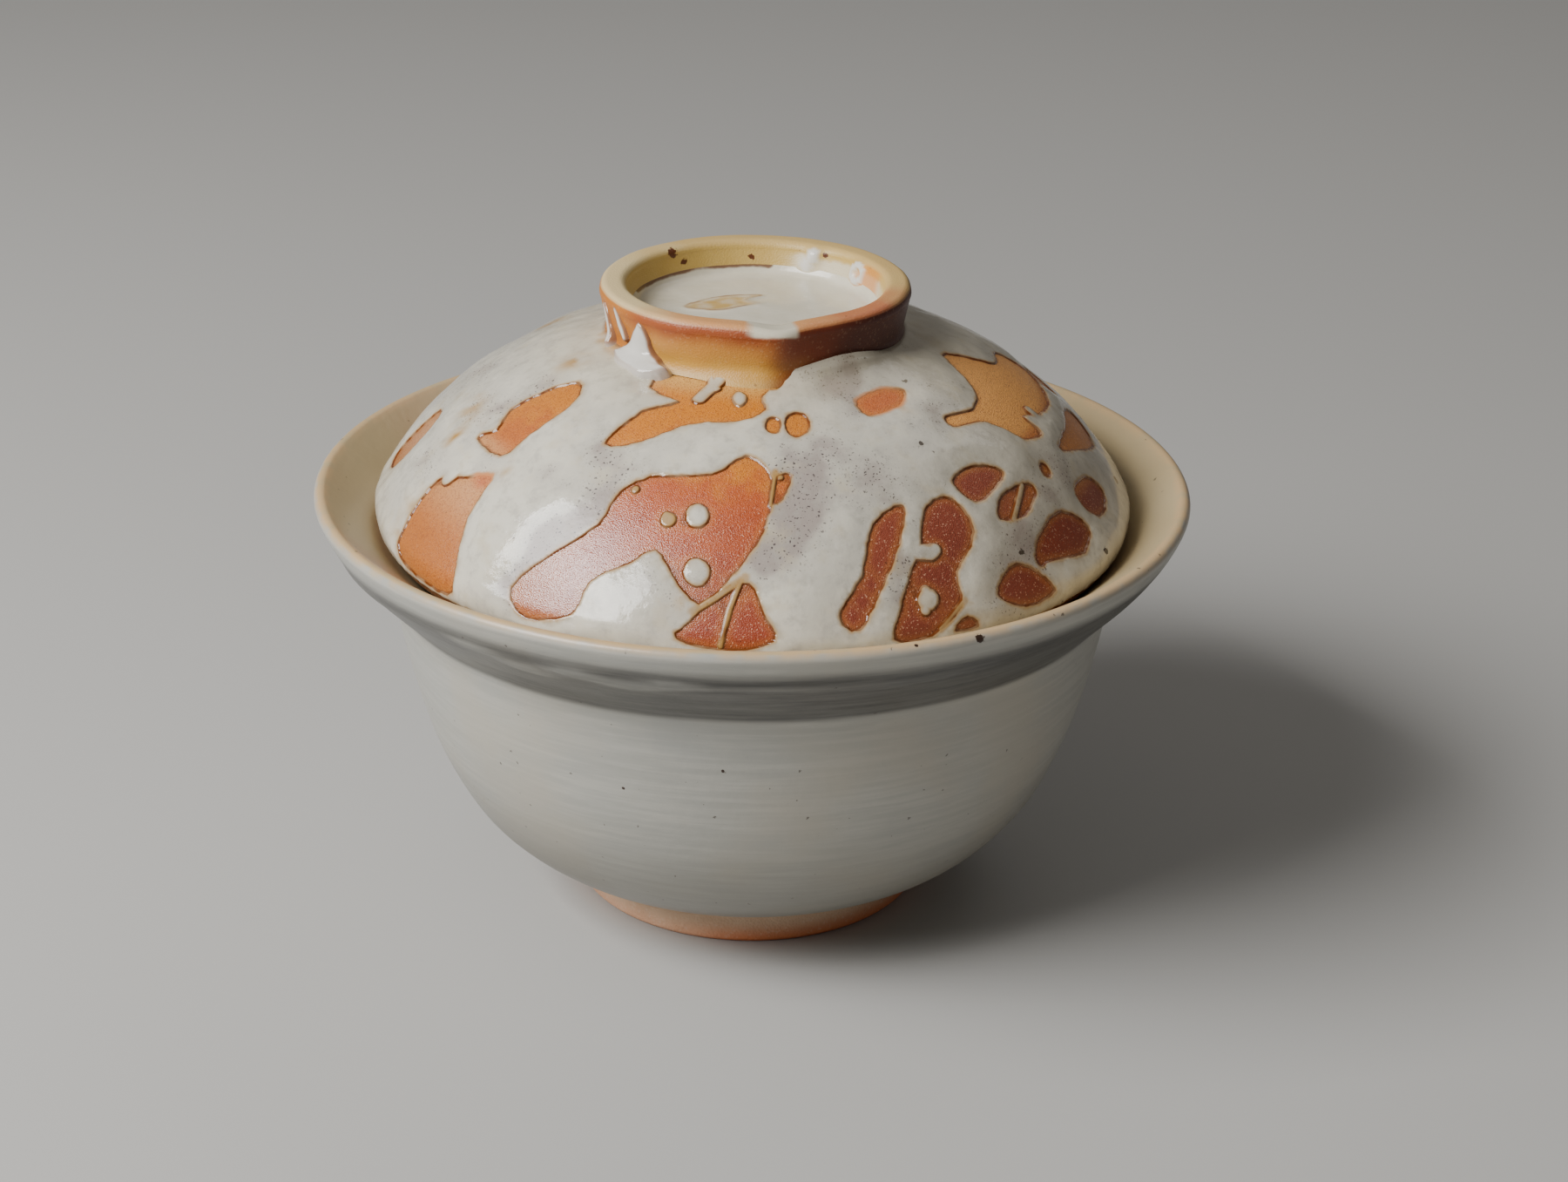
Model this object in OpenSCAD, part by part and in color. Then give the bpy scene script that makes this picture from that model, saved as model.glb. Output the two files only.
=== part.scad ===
// A lidded stoneware bowl with a flared rim, a turned foot ring and a domed lid.
// The lid carries a ring that serves as its grip, and as its foot when the lid is turned over for a dish.
// The origin is the middle of the foot, on the table, and +Z is up. The front of the bowl looks along -Y.

/* [Bowl] */
// Diameter over the lip
rim_d = 130; // [120:1:142]
// Height from the table to the top of the lip
bowl_h = 65; // [58:1:74]
// How far the lip overhangs the crease under the flared rim
flare_w = 10.8; // [9.5:0.1:12]
// Height of the flared rim, from the crease to the top of the lip
flare_h = 15; // [13.5:0.1:17]
// Slope of the seat inside the flared rim, from upright
seat_angle = 51; // [48:0.5:54]
// Thickness of the rounded lip
lip_t = 2.2; // [1.8:0.1:3]
// Thickness of the wall
wall_t = 4; // [3:0.1:5]
// Thickness of the floor over the hollow of the foot
floor_t = 5; // [4:0.1:7]
// Lean of the wall from upright, just under the crease
wall_lean = 10; // [4:0.5:16]
// Length over which the wall keeps that lean
wall_pull = 28; // [22:0.5:33]
// Slope at which the belly leaves the foot
belly_rise = 20; // [14:0.5:28]
// Length over which the belly keeps that slope
belly_pull = 17; // [12:0.5:21]

/* [Foot ring] */
// Diameter of the foot where it leaves the bowl
foot_d = 54; // [46:1:60]
// Height of the foot, and depth of the hollow inside it
foot_h = 6; // [4.5:0.1:8]
// Width of the foot where it stands on the table
foot_t = 4.6; // [3.6:0.1:6]
// Inward taper of the foot's outside from top to bottom
foot_taper = 0.5; // [0:0.1:1.2]
// Bevel along the foot's standing edges
foot_bevel = 0.6; // [0.3:0.1:1]

/* [Lid] */
// How far the lid's widest edge stands in from the edge of the rim
lid_inset = 8.6; // [7.8:0.1:9.6]
// Radius of the lid's rolled edge
roll_r = 5.5; // [4.8:0.1:6.2]
// Flat width inside the rolled edge
roll_flat = 1; // [0.6:0.1:1.6]
// Rise of the dome from the middle of the rolled edge to the foot of the ring
dome_rise = 26.7; // [22:0.1:31]
// Thickness of the dome
lid_t = 4.5; // [3.8:0.1:5.4]
// Slope of the dome at the foot of the ring
crown_slope = 11; // [7:0.5:15]
// Length over which the crown keeps that slope
crown_pull = 16; // [12:0.5:19]
// Length over which the dome's shoulder keeps the slope of the rolled edge
shoulder_pull = 13.5; // [10:0.5:16]

/* [Lid ring] */
// Diameter of the ring over its rim
ring_d = 45.4; // [41:0.2:50]
// Overhang of the ring's rim past its foot
ring_undercut = 1.1; // [0.4:0.1:1.6]
// Height of the ring above the dome
ring_h = 8; // [7:0.1:10]
// Width of the ring's rim
ring_t = 4; // [3.4:0.1:5]
// Depth of the dish inside the ring
ring_depth = 4.6; // [4.2:0.1:5.2]
// Rounding of the ring's rim
ring_round = 1.2; // [0.8:0.1:1.5]
// Draft of the ring's inner wall over its depth
ring_draft = 1.4; // [0.8:0.1:2]

/* [Glaze] */
// Thickness of the thin glaze on the bowl and inside the lid
glaze_t = 0.5; // [0.3:0.05:0.7]
// Thickness of the heavy white coat on the lid
coat_t = 0.7; // [0.5:0.05:1]
// Thickness of the glaze pool in the dish of the ring
pool_t = 0.8; // [0.5:0.05:1.2]
// How far the pool creeps up the ring's inner wall
pool_climb = 2.2; // [1.4:0.1:2.8]
// Width of the glaze's edge round the top of the foot
glaze_edge = 1.2; // [0.8:0.1:1.8]

/* [Fit] */
// Gap between the lid's bare rolled edge and the glazed seat
seat_gap = 0.3; // [0.2:0.05:0.5]

/* [Hidden] */
$fn = 96;

// Curves and paths in the plane of radius and height
function unit(v) = v / norm(v);
function ray(angle) = [cos(angle), sin(angle)];
function curve(a, b, c, d, n) =
    [for (i = [0:n]) let (t = i / n, s = 1 - t) s*s*s*a + 3*s*s*t*b + 3*s*t*t*c + t*t*t*d];
function arc(middle, r, from, to, n) = [for (i = [0:n]) middle + r * ray(from + (to - from) * i / n)];
function heading(p, i) = unit(p[min(i + 1, len(p) - 1)] - p[max(i - 1, 0)]);
// The same path moved sideways, to the left of the way that it runs
function beside(p, d) = [for (i = [0:len(p) - 1]) let (h = heading(p, i)) p[i] + d * [-h[1], h[0]]];
function reversed(p) = [for (i = [len(p) - 1:-1:0]) p[i]];
function after_first(p) = [for (i = [1:len(p) - 1]) p[i]];
function inner(p) = [for (i = [1:len(p) - 2]) p[i]];
// The part of an outward path that lies within a radius, with its end on that radius
function within(p, r) =
    let (m = max([for (i = [0:len(p) - 1]) if (p[i][0] < r) i]), t = (r - p[m][0]) / (p[m + 1][0] - p[m][0]))
    concat([for (i = [0:m]) p[i]], [p[m] + t * (p[m + 1] - p[m])]);

// Outside of the bowl, from the glaze's edge at the foot up to the lip
foot_r = foot_d / 2;
crease = [rim_d / 2 - flare_w, bowl_h - flare_h];
foot_edge = [foot_r + glaze_edge, foot_h];
wall_curve = curve(foot_edge, foot_edge + belly_pull * ray(belly_rise),
                   crease - wall_pull * [sin(wall_lean), cos(wall_lean)], crease, 18);
lip_r = lip_t / 2;
lip_middle = [rim_d / 2 - lip_r, bowl_h - lip_r];
// Slopes of the flared rim's outside at the crease and at the lip, from level
flare_kick = 48;
flare_turn = 70;
flare_end = lip_middle + lip_r * ray(flare_turn - 90);
flare_pull = flare_h * 0.4;
flare_curve = curve(crease, crease + flare_pull * ray(flare_kick),
                    flare_end - flare_pull * ray(flare_turn), flare_end, 8);

// Inside of the bowl, from the lip down the seat and the wall to the middle of the floor
seat_normal = [-cos(seat_angle), sin(seat_angle)];
lip_arc = arc(lip_middle, lip_r, flare_turn - 90, 180 - seat_angle, 10);
seat_top = lip_middle + lip_r * seat_normal;
throat_r = crease[0] - wall_t;
throat = [throat_r, seat_top[1] - (seat_top[0] - throat_r) / tan(seat_angle)];
floor_z = foot_h + floor_t;
// Height over the floor at which the wall starts to round into it
floor_round = 4;
// Least step between the throat and the wall's next point
throat_step = 1;
inner_wall = [for (p = reversed(beside(wall_curve, wall_t)))
              if (p[1] < throat[1] - throat_step && p[1] > floor_z + floor_round) p];
turn = inner_wall[len(inner_wall) - 1];
floor_pull = turn[0] * 0.4;
floor_curve = curve(turn, turn + floor_pull * heading(inner_wall, len(inner_wall) - 1),
                    [floor_pull, floor_z], [0, floor_z], 10);
bowl_skin = concat(wall_curve, after_first(flare_curve), after_first(lip_arc), [throat], inner_wall,
                   after_first(floor_curve));
bowl_clay = concat([[foot_r, foot_h]], inner(beside(bowl_skin, glaze_t)), [[0, floor_z - glaze_t]]);

// The lid's rolled edge rests on the seat, so the seat sets the height of the whole lid
lid_r = rim_d / 2 - lid_inset;
roll_clay_r = roll_r - coat_t;
roll_middle_r = lid_r - roll_r;
roll_z = seat_top[1] + (roll_clay_r + seat_gap - (roll_middle_r - seat_top[0]) * seat_normal[0]) / seat_normal[1];
roll_middle = [roll_middle_r, roll_z];

// Outside of the lid, from the foot of the ring out over the shoulder and the rolled edge
ring_r = ring_d / 2;
ring_foot_r = ring_r - ring_undercut;
// Place on the rolled edge where the dome runs into it, and where the white coat ends
shoulder_angle = 30;
coat_end_angle = -20;
crown = [ring_foot_r, roll_z + dome_rise];
shoulder = roll_middle + roll_r * ray(shoulder_angle);
dome_curve = curve(crown, crown + crown_pull * ray(-crown_slope),
                   shoulder - shoulder_pull * ray(shoulder_angle - 90), shoulder, 14);
coat_skin = concat(dome_curve, after_first(arc(roll_middle, roll_r, shoulder_angle, coat_end_angle, 5)));
land_z = crown[1] - coat_t;
coat_clay = concat([[ring_foot_r, land_z]], inner(beside(coat_skin, -coat_t)),
                   [roll_middle + roll_clay_r * ray(coat_end_angle)]);
bare_roll = arc(roll_middle, roll_clay_r, coat_end_angle, -90, 8);

// Inside of the lid, from its middle out to the rolled edge
lid_mouth_r = roll_middle_r - roll_flat;
function dome_inside(depth) =
    let (p = beside(dome_curve, -depth), last = p[len(p) - 1])
    within(concat([[0, crown[1] - depth]], p, [last + roll_r * ray(shoulder_angle - 90)]), lid_mouth_r);
lining_skin = dome_inside(lid_t);
lining_clay = dome_inside(lid_t - glaze_t);

// The ring and its dish
ring_top = land_z + ring_h;
// Height of the upright band at the foot of the ring
ring_plinth = 1.5;
dish_r = ring_r - ring_t;
dish_z = ring_top - ring_depth - pool_t;
dish_floor_r = dish_r - ring_draft;
dish_wall_h = ring_top - ring_round - dish_z;
function dish_wall_r(h) = dish_floor_r + ring_draft * h / dish_wall_h;
// Width over which the pool curves up to the wall
pool_fillet = 3;

// Bare windows, where the coat drew back in the kiln and left the clay showing. Each outline is drawn in
// millimetres, square on to a plane that leans back from upright, for a lid of the drawn radius.
window_lean = 20;
window_drawn_r = 56.4;
window_scale = lid_r / window_drawn_r;
window_behind = lid_r / 4;
window_ahead = lid_r * 1.2;
// Points along each stretch of an outline, which runs smoothly through its own points
window_steps = 3;
sail = [[-33, -11.5], [-28.5, -7.5], [-21, -2.5], [-18.5, 1.5], [-14, 4], [-5.5, 4.5], [-1, 7], [2.5, 4],
        [1.5, -2.5], [-2.5, -8.5], [-7, -12.5], [-10.5, -9], [-13, -5.5], [-17, -7.5], [-22, -10],
        [-24.5, -14.5], [-31, -15.5]];
hem = [[-10, -17.5], [-8, -15], [-4.5, -11.5], [-0.5, -10], [1.5, -14], [3, -17.5], [-3, -19]];
brow = [[-20.5, 8.5], [-15.5, 13], [-10.5, 14.5], [-14.5, 16.5], [-11, 19.5], [-4, 21], [4, 18.5], [1, 15.5],
        [1.5, 13.5], [-2, 12], [-9, 11.5], [-15.5, 9]];
tick = [[3, 4], [5, 4.5], [4, 1.5], [2.5, 1]];
pane = [[14.5, 15], [17.5, 16.5], [21, 16.5], [20.5, 14.5], [16, 13]];
reed = [[16.5, -2], [20.5, 0.5], [20, -4], [17.5, -10.5], [14.5, -16], [12, -14], [15, -9]];
gourd = [[24, 0.5], [27.5, 1.5], [30.5, -3], [28, -8.5], [28.5, -13], [24.5, -17], [19.5, -17.5],
         [21.5, -9.5], [23, -5]];
crumb = [[28, -16.5], [29.5, -14.5], [31, -16]];
leaf = [[-10.5, 1], [-8, 3], [-9, 6], [-6.5, 10], [-3, 12.5], [-0.5, 11], [0, 8.5], [-1.5, 4], [-3, 0.5]];
flank = [[-12.5, -6.5], [-7, -4.5], [-2, -2.5], [-1.5, -6], [-1, -10], [2, -19], [-5, -20], [-13.5, -18.5],
         [-14.5, -13.5]];
sliver = [[-6.5, -2.5], [-3, -4], [-3, -9], [-6, -13], [-11, -12.5], [-9, -7.5]];
wedge = [[-4.5, 0.5], [0.5, 1.5], [5, -0.5], [0, -2.5], [-3, -2.7]];
mitten = [[-0.5, -6], [2, -3.5], [7.5, -3], [9, -4.5], [4, -6.8]];
kidney = [[18.5, -6.5], [24, -6], [27, -9], [23, -11.5], [19, -9.8]];
fish = [[4, -11], [8, -9], [12.5, -8.5], [17, -12], [13.5, -14.7], [6, -13.8], [2.5, -13]];
hill = [[-6.8, -15.5], [-3, -12.7], [0.5, -13.5], [3.8, -18], [-2, -18.5]];
wing = [[-13, 8.5], [-6.5, 8], [-1, 9.5], [4.5, 14], [8.5, 12], [13, 9], [20, 9], [23, 4.5], [14, 1.5],
        [6, 2], [1, 3.5], [1, 0.5], [-4, 1.5], [-7, 6]];
brink = [[2, -2.5], [10, -2], [18, -1.5], [22, -4], [17, -7.5], [6, -4.5]];
// Drops of glaze that stayed on the clay inside a window, as places and radii
sail_drops = [[-11.5, -1.5, 1.1], [-7.5, -1, 1.7], [-7.5, -8.5, 2]];
gourd_drops = [[24.8, -5.5, 1.2], [24, -12, 1.6]];
brow_drops = [[-5.5, 17, 1.2], [-2, 15, 1.1]];
// Turn of each window's plane about the lid's axis from the front, its outline, and the drops in it
windows = [[0, sail, sail_drops], [0, hem, []], [0, brow, brow_drops], [0, tick, []], [0, pane, []],
           [0, reed, []], [0, gourd, gourd_drops], [0, crumb, []], [-50, leaf, []], [-50, flank, []],
           [-80, sliver, []], [45, wedge, []], [45, mitten, []], [45, kidney, []], [45, fish, []],
           [45, hill, []], [70, wing, []], [70, brink, []],
           [105, wedge, []], [120, hill, []], [150, gourd, gourd_drops], [160, sail, sail_drops],
           [195, leaf, []], [195, fish, []], [205, reed, []], [215, wing, []], [-115, flank, []]];
// Round windows, as the turn of their plane, their places and their radii
spots = [[0, 2.7, 11.3, 1], [0, 6, 11.5, 1.6], [45, 14, -2.5, 0.9], [140, -6, 6, 1.5], [185, 8, 3, 1.2]];

// A closed outline that runs smoothly through its points
function smooth(p, n) =
    [for (i = [0:len(p) - 1], k = [0:n - 1])
        let (m = len(p), a = p[(i + m - 1) % m], b = p[i], c = p[(i + 1) % m], d = p[(i + 2) % m], t = k / n)
        b + t * ((c - a) / 2 + t * ((2 * a - 5 * b + 4 * c - d) / 2 + t * (3 * b - a - 3 * c + d) / 2))];

module turned(outline) {
    rotate_extrude() polygon(outline);
}

module through_coat(turn) {
    translate([0, 0, roll_z])
        rotate([90 - window_lean, 0, turn])
            translate([0, 0, -window_behind])
                linear_extrude(window_behind + window_ahead)
                    scale(window_scale)
                        children();
}

module window(outline, drops) {
    difference() {
        polygon(smooth(outline, window_steps));
        for (d = drops) translate([d[0], d[1]]) circle(d[2]);
    }
}

module bowl_body() {
    color("#b99a7c") turned(concat([[0, foot_h]], bowl_clay));
}

module bowl_foot_ring() {
    stand_r = foot_r - foot_taper;
    hollow_r = stand_r - foot_t;
    color("#d2ad8f")
        turned([[hollow_r - foot_taper, foot_h], [hollow_r, foot_bevel], [hollow_r + foot_bevel, 0],
                [stand_r - foot_bevel, 0], [stand_r, foot_bevel], [foot_r, foot_h]]);
}

module bowl_glaze() {
    color("#b7b0a8") turned(concat(bowl_skin, reversed(bowl_clay)));
}

module lid_dome() {
    color("#c4622a")
        turned(concat([[0, land_z]], coat_clay, after_first(bare_roll),
                      [[lid_mouth_r, roll_z - roll_clay_r + roll_flat]], reversed(lining_clay)));
}

module lid_ring() {
    rim_outside = arc([ring_r - ring_round, ring_top - ring_round], ring_round, -30, 90, 8);
    rim_inside = arc([dish_r + ring_round, ring_top - ring_round], ring_round, 90, 180, 6);
    color("#c98a45")
        turned(concat([[0, land_z], [ring_foot_r, land_z], [ring_foot_r, land_z + ring_plinth]], rim_outside,
                      rim_inside, [[dish_floor_r, dish_z], [0, dish_z]]));
}

module lid_glaze() {
    color("#e4e3e3")
        difference() {
            turned(concat(coat_skin, reversed(coat_clay)));
            for (w = windows) through_coat(w[0]) window(w[1], w[2]);
            for (s = spots) through_coat(s[0]) translate([s[1], s[2]]) circle(s[3]);
        }
}

module lid_ring_glaze() {
    edge = [dish_wall_r(pool_climb), dish_z + pool_climb];
    level = dish_z + pool_t;
    inset = [edge[0] - pool_fillet, level];
    corner = [edge[0] - pool_fillet / 4, level];
    color("#d9d2c4")
        turned(concat([[0, dish_z], [dish_floor_r, dish_z]], curve(edge, corner, corner, inset, 8), [[0, level]]));
}

module lid_lining() {
    color("#cfc8bd") turned(concat(lining_skin, reversed(lining_clay)));
}

bowl_body();
bowl_foot_ring();
bowl_glaze();
lid_dome();
lid_ring();
lid_glaze();
lid_ring_glaze();
lid_lining();
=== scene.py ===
# %% [markdown]
# # A lidded stoneware bowl
# The bowl was thrown on a wheel and covered with a thin satin glaze. Its lid got a heavy white coat that
# crawled in the kiln: it drew back from the clay and left bare orange windows with rolled edges.
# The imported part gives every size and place, so we load it first and build each piece around it.

# %% Load the frame
import math

import bpy
import numpy as np
from mathutils import Matrix, Vector, kdtree, noise
from mathutils.bvhtree import BVHTree


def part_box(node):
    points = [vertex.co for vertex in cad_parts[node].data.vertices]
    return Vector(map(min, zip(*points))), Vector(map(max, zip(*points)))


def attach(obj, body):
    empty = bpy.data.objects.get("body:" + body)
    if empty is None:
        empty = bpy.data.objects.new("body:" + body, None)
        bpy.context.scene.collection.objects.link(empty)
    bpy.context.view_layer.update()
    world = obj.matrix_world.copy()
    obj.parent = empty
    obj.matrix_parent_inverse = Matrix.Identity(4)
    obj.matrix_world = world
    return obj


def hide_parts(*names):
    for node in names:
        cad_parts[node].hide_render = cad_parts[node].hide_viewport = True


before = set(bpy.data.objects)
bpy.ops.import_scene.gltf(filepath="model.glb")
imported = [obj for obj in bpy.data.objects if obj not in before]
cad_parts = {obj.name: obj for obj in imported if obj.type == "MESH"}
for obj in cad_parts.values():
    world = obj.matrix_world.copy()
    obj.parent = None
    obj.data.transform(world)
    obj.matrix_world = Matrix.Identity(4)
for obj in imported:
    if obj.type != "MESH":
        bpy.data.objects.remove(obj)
bpy.context.view_layer.update()
MM = 0.001

# %% [markdown]
# ## Camera
# The rim, the lid's edge, the ring and the foot are circles on one axis, so their ellipses in the picture
# give the lens, the height and the tilt of the camera. A short telephoto lens a good arm's length away fits
# them all, which keeps the ellipses as flat as they look in the photograph.

# %% Camera
CAMERA_PLACE = Vector((0, -0.4247, 0.2301))
LENS, SENSOR, NEAREST = 70, 36, 0.01
PITCH, YAW, ROLL = math.radians(23.43), math.radians(0.66), math.radians(0.96)

ahead = Vector((math.sin(YAW) * math.cos(PITCH), math.cos(YAW) * math.cos(PITCH), -math.sin(PITCH)))
level = Vector((math.cos(YAW), -math.sin(YAW), 0))
upward = level.cross(ahead)
across = math.cos(ROLL) * level + math.sin(ROLL) * upward
above = math.cos(ROLL) * upward - math.sin(ROLL) * level

camera = bpy.data.objects.new("camera", bpy.data.cameras.new("camera"))
bpy.context.scene.collection.objects.link(camera)
camera.data.lens = LENS
camera.data.sensor_width = SENSOR
camera.data.clip_start = NEAREST
aim = Matrix((across, above, -ahead)).transposed().to_4x4()
camera.matrix_world = Matrix.Translation(CAMERA_PLACE) @ aim
bpy.context.scene.camera = camera
print("camera:", LENS, "mm lens at", [round(x, 3) for x in CAMERA_PLACE])

# %% [markdown]
# ## Handling meshes
# Operators act on whatever is selected, so the first helper makes a piece the only selected object, and the
# others open it in edit mode and close it again. Coordinates move in and out of a mesh as arrays, because a
# formula can then bend all the points at once.

# %% Helpers that select
def only(piece):
    """Makes the piece the one selected and active object."""
    bpy.ops.object.select_all(action="DESELECT")
    piece.select_set(True)
    bpy.context.view_layer.objects.active = piece


def edit(piece, select_mode="VERT"):
    """Opens the piece in edit mode with nothing selected."""
    only(piece)
    bpy.ops.object.mode_set(mode="EDIT")
    bpy.ops.mesh.select_mode(type=select_mode)
    bpy.ops.mesh.select_all(action="DESELECT")


def done():
    bpy.ops.object.mode_set(mode="OBJECT")


def select_all():
    bpy.ops.mesh.select_all(action="SELECT")


def edit_all(piece):
    """Opens the piece in edit mode with all of it selected."""
    edit(piece)
    select_all()


# %% Helpers that read and move
def read(items, name, width=1, kind=float):
    """Reads one property of all points, edges, corners or faces of a mesh as an array."""
    values = np.empty(len(items) * width, kind)
    items.foreach_get(name, values)
    return values.reshape(-1, width) if width > 1 else values


def points(piece):
    return read(piece.data.vertices, "co", 3)


def move_points(piece, co):
    piece.data.vertices.foreach_set("co", co.ravel())
    piece.data.update()


# %% [markdown]
# ## Turned pieces
# Nearly every piece here was turned on a wheel, so it is a profile spun about the axis. The profile could be
# drawn again point by point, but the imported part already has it: a copy of the node is cut with bisect, first
# along a plane through the axis and then at the axis itself, and what remains is the outline of the cut.
# A Subdivision Surface rounds that line, and spin turns it into a clean surface that can be shaped further.

# %% Helpers for profiles
MERGE = 2e-6


def merge_doubles():
    select_all()
    bpy.ops.mesh.remove_doubles(threshold=MERGE)


def copy_of(node, name):
    """A copy of a CAD node's mesh with its doubled points merged."""
    piece = bpy.data.objects.new(name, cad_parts[node].data.copy())
    piece.data.materials.clear()
    bpy.context.scene.collection.objects.link(piece)
    edit_all(piece)
    bpy.ops.mesh.customdata_custom_splitnormals_clear()
    merge_doubles()
    done()
    return piece


def cut_profile(node, name):
    """The outline of a turned node in the half plane to the right of its axis, as a line of edges."""
    piece = copy_of(node, name)
    edit_all(piece)
    bpy.ops.mesh.bisect(plane_co=(0, 0, 0), plane_no=(0, 1, 0), clear_inner=True, clear_outer=True)
    select_all()
    bpy.ops.mesh.bisect(plane_co=(0, 0, 0), plane_no=(1, 0, 0), clear_inner=True)
    merge_doubles()
    done()
    return piece


# %% Helpers that turn
def smooth_level(piece, levels):
    """Applies a Subdivision Surface, which also rounds a bare line of edges into a smooth curve."""
    only(piece)
    rounding = piece.modifiers.new("rounding", "SUBSURF")
    rounding.levels = levels
    rounding.render_levels = levels
    bpy.ops.object.modifier_apply(modifier="rounding")


def spin_profile(piece, steps):
    """Spins the profile once round the axis and closes its seam and poles."""
    edit_all(piece)
    bpy.ops.mesh.spin(steps=steps, angle=2 * math.pi, center=(0, 0, 0), axis=(0, 0, 1))
    merge_doubles()
    bpy.ops.mesh.normals_make_consistent(inside=False)
    done()
    bpy.ops.object.shade_smooth()


def turned(node, name, cuts, steps):
    """A fine turned copy of a CAD node, its profile cut finer and rounded once."""
    piece = cut_profile(node, name)
    if cuts:
        edit_all(piece)
        bpy.ops.mesh.subdivide(number_cuts=cuts)
        done()
    smooth_level(piece, 1)
    spin_profile(piece, steps)
    print(name, "turned:", len(piece.data.polygons), "faces")
    return piece


# %% [markdown]
# ## Uneven surfaces
# Hand work and heat leave soft, irregular shapes. They come from a few formulas over the points of a mesh:
# smooth noise, soft steps and soft hills. What a material needs to know is stored on the points as well.

# %% Helpers for uneven surfaces
ON_AXIS = 1e-6


def point_normals(piece):
    return read(piece.data.vertices, "normal", 3)


def store(piece, name, values):
    """Keeps a value on every point, where a material can read it."""
    layer = piece.data.attributes.get(name) or piece.data.attributes.new(name, "FLOAT", "POINT")
    layer.data.foreach_set("value", np.asarray(values, np.float32))


def turn_of(co):
    """Turn about the axis from the front, positive to the right, in degrees."""
    return np.degrees(np.arctan2(co[:, 0], -co[:, 1]))


def radius_of(co):
    return np.hypot(co[:, 0], co[:, 1])


def push_out(co, push):
    """The places moved away from the axis by millimetres."""
    r = radius_of(co)
    scale = np.where(r > ON_AXIS, 1 + push * MM / np.maximum(r, ON_AXIS), 1)
    return np.c_[co[:, :2] * scale[:, None], co[:, 2]]


def outward_share(no, co, r):
    """How far a normal points away from the axis, from -1 to 1."""
    return (no[:, 0] * co[:, 0] + no[:, 1] * co[:, 1]) / np.maximum(r, ON_AXIS)


def ripple(co, size, seed=0.0):
    """Smooth noise from -1 to 1 whose bumps are about this size."""
    return np.array([noise.noise(Vector(p) / size + Vector((seed, 2 * seed, 3 * seed))) for p in co])


def soft_step(low, high, value):
    t = np.clip((value - low) / (high - low), 0, 1)
    return t * t * (3 - 2 * t)


def bump_at(value, place, width):
    """A smooth hill of height 1 round a place."""
    return np.exp(-(((value - place) / width) ** 2))


# %% [markdown]
# ## The bowl's glaze
# This is the skin that one sees of the bowl: outside, lip and inside. Thrown walls are never quite true, so
# the spun surface gets faint throwing rings, a slight wobble, and the wavy finger marks that the potter left
# in the band under the lip. Both faces of the skin move together, so that it keeps its thickness.

# %% Bowl glaze: shape
# Turn and height of each finger mark, its reach along and up, and how far it swells
FINGER_MARKS = [(-37, 59.2, 5, 0.9, 0.75), (-29, 57.6, 5, 0.9, 0.8), (-22, 59.0, 4, 0.8, 0.85),
                (-15, 58.0, 5, 0.9, 0.8), (-9, 59.2, 4, 0.8, 0.7), (4, 58.6, 9, 0.8, 0.4),
                (24, 58.4, 12, 0.9, 0.3), (-62, 58.4, 9, 0.9, 0.4), (150, 58.2, 9, 0.9, 0.5),
                (-120, 58.6, 8, 0.8, 0.45), (95, 58.0, 10, 0.9, 0.35)]
RING_DEPTH, WAVE_DEPTH, OUT_OF_ROUND = 0.05, 0.12, 0.05
CREASE_Z, CREASE_DEPTH, DEEPEST = 50.4, 0.2, 0.2
LIP_Z = 65

bowl_glaze = turned("bowl_glaze", "bowl_glaze_skin", cuts=0, steps=168)
co = points(bowl_glaze)
r, z, turn = radius_of(co), co[:, 2] / MM, turn_of(co)
ring_wave = ripple(np.c_[co[:, 0] * 0.15, co[:, 1] * 0.15, co[:, 2]], 1.5 * MM, 4.0)
slow_wave = ripple(np.c_[co[:, 0] * 0.3, co[:, 1] * 0.3, co[:, 2]], 6 * MM, 9.0)
on_wall = soft_step(9, 14, z) * soft_step(64, 60, z)
marks = sum(swell * bump_at(turn, mark_turn, along) * bump_at(z, mark_z, tall)
            for mark_turn, mark_z, along, tall, swell in FINGER_MARKS)
shift = on_wall * (RING_DEPTH * ring_wave + WAVE_DEPTH * slow_wave) + marks
shift -= OUT_OF_ROUND * (1 + np.sin(2 * np.radians(turn) + 0.7)) * soft_step(40, 64, z)
crease = CREASE_DEPTH * bump_at(z, CREASE_Z, 0.5) * soft_step(0, 10, r / MM - 40)
shift = np.maximum(shift - crease, -DEEPEST)
co = push_out(co, shift)
move_points(bowl_glaze, co)
no = point_normals(bowl_glaze)
store(bowl_glaze, "inside", soft_step(0.2, -0.2, outward_share(no, co, r) - 0.6 * no[:, 2]))
store(bowl_glaze, "marks", marks)
store(bowl_glaze, "lip", bump_at(z, LIP_Z, 0.7) * soft_step(61.5, 63.5, r / MM))
print("bowl glaze: throwing marks up to", round(float(np.abs(shift).max()), 2), "mm")

# %% [markdown]
# ## Building materials from nodes
# A material is a small network. These helpers add a node with its settings and wires in one line, so that
# each finish below reads as a recipe: where the pattern sits, how it is thresholded, and what it colours.

# %% Helpers for nodes
def wire(tree, made, wires):
    """Links or fills the inputs of a node."""
    for name, value in wires.items():
        if isinstance(value, bpy.types.NodeSocket):
            tree.links.new(value, made.inputs[name])
        else:
            made.inputs[name].default_value = value


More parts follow.
